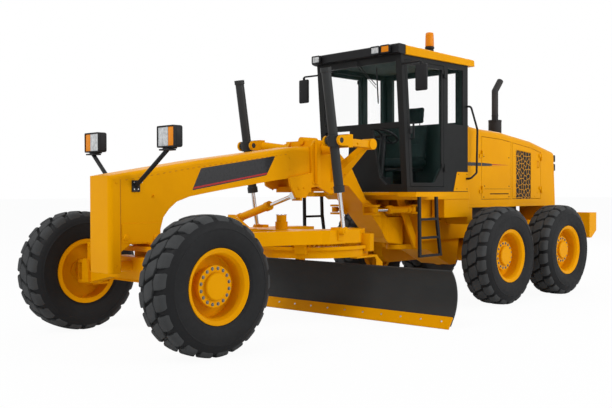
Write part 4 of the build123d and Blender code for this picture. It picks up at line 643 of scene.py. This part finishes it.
def lamp_head(low, high, face, split=0.0, depth=0.010):
    """A lamp head between two corners: a round-edged case with a raised frame on its face, and its lenses.

    The face looks along X, to the front where face is 1. split is the share of the width that the first of
    two lenses takes, or 0 for one lens.
    Each lens bulges by one minus the squares of its place across and up.
    """
    low, high = np.minimum(low, high), np.maximum(low, high)
    front = high[0] if face > 0 else low[0]
    inner = front - face * depth
    case = rounded_box((low[0] if face > 0 else inner, *low[1:]), (inner if face > 0 else high[0], *high[1:]),
                       0.020)
    outer = rectangle(low[1:], high[1:], 0.016)
    bezel = surround(outer, rectangle(low[1:] + 0.013, high[1:] - 0.013, 0.009), inner - face * 0.012, front)
    parting = low[1] + (high[1] - low[1]) * split
    ends = [low[1] + 0.015, high[1] - 0.015]
    if split:
        ends[1:1] = [parting - 0.003, parting + 0.003]
    made = [joined(case, bezel)]
    for y_low, y_high in zip(ends[::2], ends[1::2]):
        t = np.linspace(-1, 1, LENS_STEPS)
        y, z = np.meshgrid((y_low + y_high) / 2 + t * (y_high - y_low) / 2,
                           (low[2] + high[2]) / 2 + t * ((high[2] - low[2]) / 2 - 0.015), indexing="ij")
        bulge = 0.004 * (1 - t[:, None] ** 2) * (1 - t[None] ** 2)
        ring = np.stack([inner + face * (0.003 + bulge), y, z], -1)
        back = ring - (face * 0.012, 0, 0)
        top, faces = grid(ring)
        under, _ = grid(back)
        order = np.arange(len(top)).reshape(LENS_STEPS, LENS_STEPS)
        edge = np.concatenate([order[0, :-1], order[:-1, -1], order[-1, :0:-1], order[:0:-1, 0]])
        after = np.roll(edge, -1)
        wall = np.stack([edge, after, after + len(top), edge + len(top)], -1)
        made.append((np.concatenate([top, under]), faces + [faces[0] + len(top), wall]))
    return made


arms = cad_part("headlamps_and_hoses", lambda x, y, z: (np.abs(y) > 0.15) & (z < 1.950))
hoses = cad_part("headlamps_and_hoses", lambda x, y, z: np.abs(y) < 0.15)
heads = cad_part("headlamps_and_hoses", lambda x, y, z: (np.abs(y) > 0.15) & (z > 1.960))[0]
arm_piece = piece("headlamp_arms", arms, black_paint, "front")
hose_piece = piece("neck_hoses", hoses, hose_rubber, "front")
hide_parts("headlamps_and_hoses")
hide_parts("headlamps_and_hoses")
for name, side in SIDES.items():
    own = heads[heads[:, 1] * side > 0]
    low, high = own.min(0), own.max(0)
    case, one, two = lamp_head(low, high, 1, 0.62 if side > 0 else 0.38)
    piece(f"headlamp_{name}", case, black_plastic, "front")
    inboard, outboard = (one, two)[::side]
    piece(f"headlamp_lens_{name}", inboard, clear_lens, "front")
    piece(f"turn_lens_{name}", outboard, amber, "front")
    y = (low[1] + high[1]) / 2
    foot = rounded_box((low[0] + 0.02, y - 0.07, low[2] - 0.012), (low[0] + 0.095, y + 0.07, low[2] + 0.004),
                       0.004)
    mount = joined(foot, copies(bolt(0.011), [(low[0] + 0.057, y, low[2] - 0.030)]))
    piece(f"headlamp_mount_{name}", mount, black_paint, "front")

# ---- visor, tail lamps and beacon
visor_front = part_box("visor_and_lamps")[1][0]
roof_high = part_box("cab_roof")[1]
cab_low, cab_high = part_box("cab_frame")
visor = piece("visor", cad_part("visor_and_lamps", lambda x, y, z: x > roof_high[0]), black_plastic, "rear")
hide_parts("visor_and_lamps")
for number, (y, lens) in enumerate(((-0.630, clear_lens), (0.412, clear_lens), (0.575, amber))):
    low, high = (visor_front - 0.034, y - 0.074, 3.262), (visor_front + 0.014, y + 0.074, 3.366)
    case, glassy = lamp_head(low, high, 1)
    piece(f"visor_lamp_{number}", case, black_plastic, "rear")
    piece(f"visor_lens_{number}", glassy, lens, "rear")
tails = cad_part("visor_and_lamps", lambda x, y, z: x < cab_low[0] - 1)[0]
for name, side in SIDES.items():
    own = tails[tails[:, 1] * side > 0]
    low, high = own.min(0), own.max(0)
    parts = []
    for kind, share, tint in (("brake", (0.56, 1.0), red_lens), ("turn", (0.0, 0.44), amber)):
        ends = low[2] + (high[2] - low[2]) * np.array(share)
        case, glassy = lamp_head((*low[:2], ends[0]), (*high[:2], ends[1]), -1)
        parts.append(case)
        piece(f"tail_{kind}_lens_{name}", glassy, tint, "rear")
    spine = rounded_box(low + (0.03, 0.03, 0.02), high - (0, 0.03, 0.02), 0.006)
    piece(f"tail_lamp_{name}", joined(*parts, spine), black_plastic, "rear")

beacon = cad_part("visor_and_lamps", lambda x, y, z: (z > roof_high[2] + 0.02) & (x < roof_high[0] - 0.2))[0]
beacon_at = (beacon.min(0) + beacon.max(0))[:2] / 2
beacon_top = beacon[:, 2].max()
base_z = onto("cab_roof", (*beacon_at, 5), (0, 0, -1))[0][2]
foot = lathe([(0, -0.004), (0.060, -0.004), (0.062, 0.010), (0.056, 0.030), (0.052, 0.052), (0.062, 0.060),
              (0.062, 0.082), (0.050, 0.090), (0, 0.090)], (*beacon_at, base_z), turns=40)
piece("beacon_foot", foot, black_plastic, "rear")
dome_low = base_z + 0.086


def dome():
    """The beacon's lens: turned, with a radius that swells by a small cosine round it, and a closing cap."""
    height = np.array([0, 0.004, 0.010, 0.05, 0.10, 0.15, 0.185, 0.20, 0.208, 0.212])
    height *= (beacon_top - dome_low) / height[-1]
    radius = np.array([0.050, 0.056, 0.0575, 0.0565, 0.055, 0.0535, 0.052, 0.046, 0.030, 0.0])
    ribbed = np.array([0, 0, 0.3, 1, 1, 1, 0.8, 0.3, 0, 0])
    angle = np.linspace(0, 2 * pi, 144, endpoint=False)[:, None]
    r = radius * (1 + 0.022 * ribbed * np.cos(24 * angle))
    points = spread(r * np.cos(angle), r * np.sin(angle), height)
    return grid(points + (*beacon_at, dome_low), wrap_rows=True)


piece("beacon_dome", dome(), amber, "rear", sharp=60)

# ---- cab
glass_x = [onto("cab_glass", (2.0, 0.0, z), (-1, 0, 0))[0][0] for z in (2.6, 3.1)]


def on_screen(y, z, off):
    """A point in front of the leaning windscreen, off metres from it."""
    return glass_x[0] + (glass_x[1] - glass_x[0]) * (z - 2.6) / 0.5 + off, y, z


ARM = [(0.02, 3.215, 0.045), (0.10, 3.12, 0.050), (0.31, 2.90, 0.036)]
LINK = [(-0.02, 3.215, 0.045), (0.06, 3.12, 0.050), (0.31, 2.86, 0.036)]
wiper = [
    tube([on_screen(*at) for at in ARM], 0.006, 8),
    tube([on_screen(*at) for at in LINK], 0.004, 8),
    tube([on_screen(0.32, z, 0.022) for z in np.linspace(2.66, 3.12, 16)],
         [0.005] + [0.009] * 14 + [0.005], 6),
    lathe([(0, 0.016), (0.018, 0.014), (0.022, -0.03), (0, -0.03)], on_screen(0, 3.215, 0.03), (1, 0, 0), 20)]
piece("wiper", joined(*wiper), black_plastic, "rear")
# the yellow corner plate and its screws, as X from the cab's rear and the height
CORNER = np.array([(0.345, 1.527), (0.262, 1.790), (0.004, 1.790), (0.004, 1.527)])
CORNER_THICK = 0.005
CORNER_SCREWS = ((0.03, 1.56), (0.03, 1.76), (0.27, 1.56), (0.23, 1.76))
# the grab handle's path and its lock, as X behind the door's front edge, Y and the height
GRIP = [(0.722, 2.40), (0.775, 2.405), (0.785, 2.385), (0.785, 2.215), (0.775, 2.195), (0.722, 2.200)]
GRIP_BACK = 0.115
for name, side in SIDES.items():
    corner = side_sheet("cab_frame", soft_outline(CORNER + (cab_low[0], 0), 0.008), side, thick=CORNER_THICK)
    piece(f"cab_corner_{name}", corner, paint, "rear")
    places = [onto("cab_frame", (cab_low[0] + x, side * 1.5, z), (0, -side, 0))[0] for x, z in CORNER_SCREWS]
    screws = copies(bolt(0.006), np.array(places) + (0, side * CORNER_THICK, 0), facing((0, side, 0)))
    piece(f"cab_corner_screws_{name}", screws, black_paint, "rear")
    grip_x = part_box(f"cab_door_{name}")[1][0] - GRIP_BACK
    grip = tube(soft_path([(grip_x, side * y, z) for y, z in GRIP]), 0.009, 10)
    lock = [(grip_x - 0.030, side * 0.725, 2.26), (grip_x + 0.030, side * 0.742, 2.34)]
    lock = rounded_box(np.min(lock, axis=0), np.max(lock, axis=0), 0.006)
    piece(f"door_grip_{name}", joined(grip, lock), black_paint, f"cab_door_{name}")

ceiling = onto("cab_roof", (cab_low[0] + 0.8, 0, 2.6), (0, 0, 1))[0][2]
liner = rounded_box((cab_low[0] + 0.075, -0.655, ceiling - 0.012),
                    (cab_high[0] - 0.12, 0.655, ceiling + 0.001), 0.004)
piece("cab_headliner", liner, lining, "rear")

# mirrors: round-edged cases with a bright face to the rear
MIRROR_IN, MIRROR_LOW, MIRROR_HIGH = 0.880, 2.749, 3.098


def in_mirror(x, y, z):
    """Whether a point of the rails' node belongs to a mirror."""
    return (np.abs(y) > MIRROR_IN) & (z > MIRROR_LOW) & (z < MIRROR_HIGH)


mirror_solid = cad_part("ladders_and_handrails", in_mirror)[0]
rails = cad_part("ladders_and_handrails", lambda x, y, z: ~in_mirror(x, y, z))
rail_piece = piece("ladders_and_rails", rails, black_paint, "rear")
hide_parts("ladders_and_handrails")
for name, side in SIDES.items():
    own = mirror_solid[mirror_solid[:, 1] * side > 0]
    low, high = own.min(0), own.max(0)
    case = rounded_box(low, high, 0.020, 4)
    clip = lathe([(0, 0.02), (0.016, 0.02), (0.018, 0), (0.016, -0.02), (0, -0.02)],
                 (*(low + high)[:2] / 2, high[2] + 0.012), (0, 0, 1), 16)
    piece(f"mirror_case_{name}", joined(case, clip), black_plastic, "rear")
    face = prism(rectangle(low[1:] + 0.014, high[1:] - 0.014, 0.018), low[0] - 0.0015, low[0] + 0.002, "x")
    piece(f"mirror_face_{name}", face, mirror, "rear")

# ---- hood
# places on the hood's side: X behind the hood's front, and the height, or the height over the stripe's middle
hood_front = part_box("hood")[1][0]
STRIPE_Z = 1.907
STRIPE_START = ((0.332, -0.024), (0.002, 0.024))
STRIPE_TAPER = [(0.348, -0.024), (0.60, -0.016), (0.62, -0.004), (0.62, 0.008), (0.58, 0.016), (0.348, 0.024)]
RED_TAIL = [(0.622, -0.004), (1.06, 0.001), (1.06, 0.003), (0.622, 0.010)]
RED_UNDER = [(0.40, -0.034), (0.90, -0.008), (0.62, -0.020)]
# outlines of the slot and the seam on the engine door, drawn as near-black sheets of painted shade
SLOT_SHADE = [(1.06, 1.482), (0.56, 1.482), (0.56, 1.496), (1.06, 1.496)]
SEAM_SHADE = ((1.122, 1.558), (0.348, 1.562))
DOOR_SCREWS = [(x, z) for x in (0.40, 1.07) for z in (1.445, 1.60, 2.02)]
GRILLE = [(1.277, 1.407), (1.698, 1.407), (1.698, 2.103), (1.277, 2.143)]
PULL = [(1.90, 0, 1.99), (1.90, 0.030, 1.985), (1.905, 0.032, 1.94), (1.90, 0.030, 1.895), (1.90, 0, 1.89)]
PULL_SCREWS = [(1.82, 1.45), (1.90, 1.50), (1.225, 1.45), (1.225, 2.05)]


def behind(places, over=0.0):
    """Places on the hood's side, from X behind its front and the height over a line."""
    return np.array([(hood_front - x, z + over) for x, z in places])


def screwed(node, places, side):
    """Screws on a door's side."""
    starts = [(x, side * 1.5, z) for x, z in behind(places)]
    return set_on(node, starts, (0, -side, 0), bolt(0.0075))


for name, side in SIDES.items():
    start = side_sheet("hood", rectangle(*behind(STRIPE_START, STRIPE_Z)), side)
    piece(f"hood_stripe_{name}", start, decal_black, "rear")
    door = f"engine_door_{name}"
    taper = side_sheet(door, behind(STRIPE_TAPER, STRIPE_Z), side)
    piece(f"door_stripe_{name}", taper, decal_black, door)
    red = [side_sheet(door, behind(outline, STRIPE_Z), side) for outline in (RED_TAIL, RED_UNDER)]
    piece(f"door_stripe_red_{name}", joined(*red), decal_red, door)
    # the slot and the seam: near-black sheets, painted shade where the gaps are
    slot_shade = side_sheet(door, soft_outline(behind(SLOT_SHADE), 0.006), side, thick=0.0008)
    seam_shade = side_sheet(door, rectangle(*behind(SEAM_SHADE)), side, thick=0.0008)
    piece(f"door_gap_shades_{name}", joined(slot_shade, seam_shade), painted_gap_shade, door)
    piece(f"door_screws_{name}", screwed(door, DOOR_SCREWS, side), black_paint, door)
    door = f"radiator_door_{name}"
    plate = side_sheet(door, behind(GRILLE), side, thick=0.005, sunk=0.0005)
    piece(f"grille_{name}", plate, pebble_grille, door)
    wall = onto(door, (hood_front - 1.92, side * 1.5, 1.95), (0, -side, 0))[0][1]
    pull = tube(soft_path([(hood_front - x, wall + side * y, z) for x, y, z in PULL]), 0.0065, 8)
    piece(f"door_pull_{name}", joined(pull, screwed(door, PULL_SCREWS, side)), paint, door)

cap = lathe([(0, 0.060), (0.105, 0.055), (0.125, 0.040), (0.130, 0.010), (0.130, -0.02)], turns=40)
piece("filler_cap", set_on("hood", [(hood_front - 0.22, 0.42, 4)], (0, 0, -1), cap), black_plastic, "rear")

# ---- exhaust
pipe_low, pipe_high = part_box("exhaust")
DRUM_RADIUS, PIPE_RADIUS = 0.100, 0.050
drum_x, drum_y = pipe_high[0] - DRUM_RADIUS, (pipe_low[1] + pipe_high[1]) / 2
clamps = []
for height, radius in ((0.06, DRUM_RADIUS), (0.31, DRUM_RADIUS), (0.395, PIPE_RADIUS)):
    band = rectangle((radius - 0.003, -0.014), (radius + 0.002, 0.014))
    clamps.append(lathe(band, (drum_x, drum_y, pipe_low[2] + height), turns=48))
    corner = np.array((drum_x + radius * 0.7, drum_y + radius * 0.72, pipe_low[2] + height - 0.012))
    clamps.append(rounded_box(corner, corner + (0.024, 0.012, 0.024), 0.003))
piece("exhaust_clamps", joined(*clamps), exhaust_black, "rear")

# ---- blade, circle and tandem bolts
edge_low, edge_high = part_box("cutting_edge")
EDGE_BOLTS = 14
starts = [(edge_high[0] + 0.4, y, (edge_low[2] + edge_high[2]) / 2 + 0.012)
          for y in np.linspace(edge_low[1] + 0.12, edge_high[1] - 0.12, EDGE_BOLTS)]
plow = lathe([(0, 0.003), (0.010, 0.0035), (0.012, 0.003), (0.0125, -0.004)], turns=16)
piece("edge_bolts", set_on("cutting_edge", starts, (-1, 0, 0), plow), steel, "blade")

pinion = middle(*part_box("circle_pinion"))
x, y = bolt_circle(8, 0.057)
starts = spread(pinion[0] + x, pinion[1] + y, 3)
piece("gearbox_bolts", set_on("drawbar", starts, (0, 0, -1), bolt(0.009)), steel, "drawbar")

tandem_x = middle(*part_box("tandem_cases"))[0]
hub_z = WHEELS["front_left"][2]
COVER_THICK = 0.012
for name, side in SIDES.items():
    cover = lathe([(0, COVER_THICK), (0.180, COVER_THICK), (0.186, 0.006), (0.186, -0.002)], turns=48)
    cover = set_on("tandem_cases", [(tandem_x, side * 1.6, hub_z)], (0, -side, 0), cover)
    x, z = bolt_circle(12, 0.155)
    starts = spread(tandem_x + x, side * 1.6, hub_z + z)
    places = [onto("tandem_cases", at, (0, -side, 0))[0] for at in starts]
    ring = copies(bolt(0.012), np.array(places) + (0, side * COVER_THICK, 0), facing((0, side, 0)))
    piece(f"tandem_cover_{name}", joined(cover, ring), paint, "rear")

# ---- rods
rod_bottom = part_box("lift_cylinder_rods")[0][2]
shift_low, shift_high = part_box("shift_cylinder_rod")
RODS = {        # node: its body, and what lies on the painted eye
    "lift_cylinder_rods": ("lift_rods", lambda x, y, z: z < rod_bottom + 0.135),
    "shift_cylinder_rod": (
        "shift_rod", lambda x, y, z: (z > shift_high[2] - 0.112) & (y < shift_low[1] + 0.5)),
}
for side in SIDES:
    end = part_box(f"articulation_rod_{side}")[1][0]
    RODS[f"articulation_rod_{side}"] = (f"artic_rod_{side}", lambda x, y, z, end=end: x > end - 0.086)
for node, (body, eye) in RODS.items():
    painted = piece(f"{node}_eyes", cad_part(node, eye), paint, body)
    bright = piece(f"{node}_bars", cad_part(node, lambda *at: ~eye(*at)), chrome, body)
    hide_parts(node)
    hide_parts(node)

# ---- seat
seat_low, seat_high = (np.array(corner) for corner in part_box("cab_seat"))
rear, front = seat_low[0], seat_high[0]
bottom, top = seat_low[2], seat_high[2]
CUSHION_Z = (bottom + 0.290, bottom + 0.430)
SIM_FRAMES = 20
VOXEL = 0.007
PRESSURE, STIFFNESS = 4.0, 12
FOLDS = 25                  # rings of the skirt under the seat


def apply(thing, modifier):
    """Apply one modifier of an object."""
    with bpy.context.temp_override(object=thing, active_object=thing, selected_objects=[thing]):
        bpy.ops.object.modifier_apply(modifier=modifier)


def places_of(thing):
    """An object's points as an array."""
    return np.array([v.co for v in thing.data.vertices])


def pad(name, shape, swell):
    """A padded piece: its shape remeshed, and blown up a little as cloth, held within a cap."""
    thing = piece(name, shape, cloth, "rear", sharp=180)
    remesh = thing.modifiers.new("voxels", "REMESH")
    remesh.mode = "VOXEL"
    remesh.voxel_size = VOXEL
    apply(thing, remesh.name)
    before = places_of(thing)
    blown = thing.modifiers.new("cloth", "CLOTH")
    blown.settings.use_pressure = True
    blown.settings.uniform_pressure_force = PRESSURE
    blown.settings.effector_weights.gravity = 0.0
    blown.settings.tension_stiffness = STIFFNESS
    blown.settings.compression_stiffness = STIFFNESS
    for step in range(1, SIM_FRAMES + 1):
        bpy.context.scene.frame_set(step)
    apply(thing, blown.name)
    bpy.context.scene.frame_set(1)
    moved = places_of(thing) - before
    far = np.linalg.norm(moved, axis=1, keepdims=True)
    after = before + moved * np.minimum(1, swell / np.maximum(far, 1e-9))
    thing.data.vertices.foreach_set("co", after.ravel())
    return thing


def sew(thing, depth_at):
    """Sink sewn channels: each point moves in along its normal by depth_at of its X, Y and Z; then smooth."""
    mesh = thing.data
    points = places_of(thing)
    normals = np.array([n.vector for n in mesh.vertex_normals])
    points -= normals * depth_at(*points.T)[:, None]
    mesh.vertices.foreach_set("co", points.ravel())
    mesh.polygons.foreach_set("use_smooth", np.ones(len(mesh.polygons), bool))
    mesh.update()
    smooth = thing.modifiers.new("smooth", "SUBSURF")
    smooth.levels = smooth.render_levels = 1
    apply(thing, smooth.name)


def groove(value, at, width, depth):
    """A rounded groove: depth times a bell of the value's distance from its place."""
    return depth * np.exp(-((value - at) / width) ** 2)


def leaning(shape):
    """The shape sheared back along X as it rises, by the seat back's lean."""
    points, faces = shape
    back = (points[:, 2] - bottom - 0.36) * (-0.080 / 0.810)
    return points + spread(back, 0, 0), faces


def cushion_seams(x, y, z):
    """Two seams along the cushion and one across it, on its upper side."""
    seams = groove(np.abs(y), 0.150, 0.007, 0.007) + groove(x, front - 0.17, 0.007, 0.006)
    return seams * (z > CUSHION_Z[0] + 0.06)


def back_seams(x, y, z):
    """Two seams up the back, and one across between them."""
    across = groove(z, CUSHION_Z[1] + 0.21, 0.007, 0.005) * (np.abs(y) < 0.125)
    return groove(np.abs(y), 0.125, 0.007, 0.006) + across


cushion = pad("seat_cushion", rounded_box(
    (rear + 0.090, seat_low[1] + 0.012, CUSHION_Z[0] + 0.012),
    (front - 0.012, seat_high[1] - 0.012, CUSHION_Z[1] - 0.012), 0.045, 5), 0.010)
sew(cushion, cushion_seams)
back = pad("seat_back", leaning(rounded_box(
    (rear + 0.086, -0.205, CUSHION_Z[1] - 0.015), (rear + 0.172, 0.205, top - 0.262), 0.034, 5)), 0.008)
sew(back, back_seams)
head = pad("seat_headrest", leaning(rounded_box(
    (rear + 0.090, -0.135, top - 0.245), (rear + 0.168, 0.135, top - 0.012), 0.034, 5)), 0.007)
sew(head, lambda x, y, z: groove(np.abs(y), 0.095, 0.006, 0.004))
seat_z = CUSHION_Z[0]
frame_bits = [
    rounded_box((rear + 0.12, -0.18, seat_z - 0.045), (front - 0.04, 0.18, seat_z + 0.006), 0.015),
    rounded_box((rear + 0.19, -0.150, bottom), (front - 0.10, 0.150, bottom + 0.035), 0.010)]
bellows = np.where(np.arange(FOLDS) % 2 == 0, 0.135, 0.118)
rings = [np.insert(rectangle((rear + 0.325 - r, -r), (rear + 0.325 + r, r), 0.04), 2, z, axis=1)
         for r, z in zip(bellows, np.linspace(bottom + 0.03, seat_z - 0.04, FOLDS))]
skirt, skirt_faces = grid(np.stack(rings), wrap_columns=True)
count = len(rings[0])
ends = [np.arange(count)[None], np.arange(len(skirt) - count, len(skirt))[None]]
frame_bits.append((skirt, skirt_faces + ends))
for y in (-0.06, 0.06):
    frame_bits.append(tube([(rear + 0.055, y, top - 0.30), (rear + 0.050, y, top - 0.20)], 0.006, 8))
base = piece("seat_frame", joined(*frame_bits), black_plastic, "rear")
for made in (cushion, back, head, base):
    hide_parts("cab_seat")

# ---- floor, light and camera
FLOOR = 200                 # half its width
floor_mesh = bpy.data.meshes.new("floor")
corners = rectangle((-FLOOR, -FLOOR), (FLOOR, FLOOR))
floor_mesh.from_pydata([(x, y, -0.001) for x, y in corners], [], [(0, 1, 2, 3)])
floor = bpy.data.objects.new("floor", floor_mesh)
bpy.context.scene.collection.objects.link(floor)


def floor_finish():
    """Pale floor: it keeps soft shadows, and looks white where the camera meets it."""
    made, tree, matt = new_material("pale_floor")
    fill(matt, Base_Color=(0.88, 0.88, 0.88, 1), Roughness=0.9, Specular_IOR_Level=0.1)
    white = add(tree, "ShaderNodeEmission", Strength=1.0)
    rays = tree.nodes.new("ShaderNodeLightPath").outputs
    led_out(tree, computed(tree, "MULTIPLY", rays["Is Camera Ray"], 0.95), matt, white, "Material Output")
    return made


floor_mesh.materials.append(floor_finish())

world = bpy.data.worlds.new("studio")
bpy.context.scene.world = world
world.use_nodes = True
sky = world.node_tree
dim = sky.nodes["Background"]
fill(dim, Color=(0.93, 0.96, 1.0, 1), Strength=0.55)
bright = add(sky, "ShaderNodeBackground", Color=(1, 1, 1, 1), Strength=1.0)
rays = sky.nodes.new("ShaderNodeLightPath").outputs
seen = computed(sky, "MAXIMUM", rays["Is Camera Ray"], rays["Is Glossy Ray"])
led_out(sky, computed(sky, "MAXIMUM", seen, rays["Is Transmission Ray"]), dim, bright, "World Output")


def soft_light(name, place, target, size, watts):
    """A square soft lamp that faces a point."""
    lamp = bpy.data.lights.new(name, "AREA")
    lamp.shape = "SQUARE"
    lamp.size = size
    lamp.energy = watts
    thing = bpy.data.objects.new(name, lamp)
    thing.location = place
    thing.rotation_euler = (Vector(target) - Vector(place)).to_track_quat("-Z", "Y").to_euler()
    bpy.context.scene.collection.objects.link(thing)


soft_light("key", (12, 1, 11), (0, 0, 1.2), 6.0, 820)
soft_light("fill", (-4, 13, 6.5), (-1.5, 0, 1.2), 7.0, 880)
soft_light("back", (-12, -6, 9), (-1, 0, 1.5), 6.0, 500)

bpy.context.scene.view_settings.view_transform = "Standard"

CAMERA = (8.5415, 7.2354, 1.5205)
YAW, PITCH, ROLL = radians(-135.1854), radians(0.8083), radians(-0.1836)
ahead = np.array([cos(PITCH) * cos(YAW), cos(PITCH) * sin(YAW), -sin(PITCH)])
across = np.cross(ahead, (0, 0, 1))
across /= np.linalg.norm(across)
upward = np.cross(across, ahead)
right = cos(ROLL) * across + sin(ROLL) * upward
top = cos(ROLL) * upward - sin(ROLL) * across
lens = bpy.data.cameras.new("camera")
lens.sensor_width = 36
lens.lens = 48.93
lens.clip_end = 500
camera = bpy.data.objects.new("camera", lens)
rows = np.column_stack([right, top, -ahead, CAMERA])
camera.matrix_world = Matrix([*rows.tolist(), (0, 0, 0, 1)])
bpy.context.scene.collection.objects.link(camera)
bpy.context.scene.camera = camera
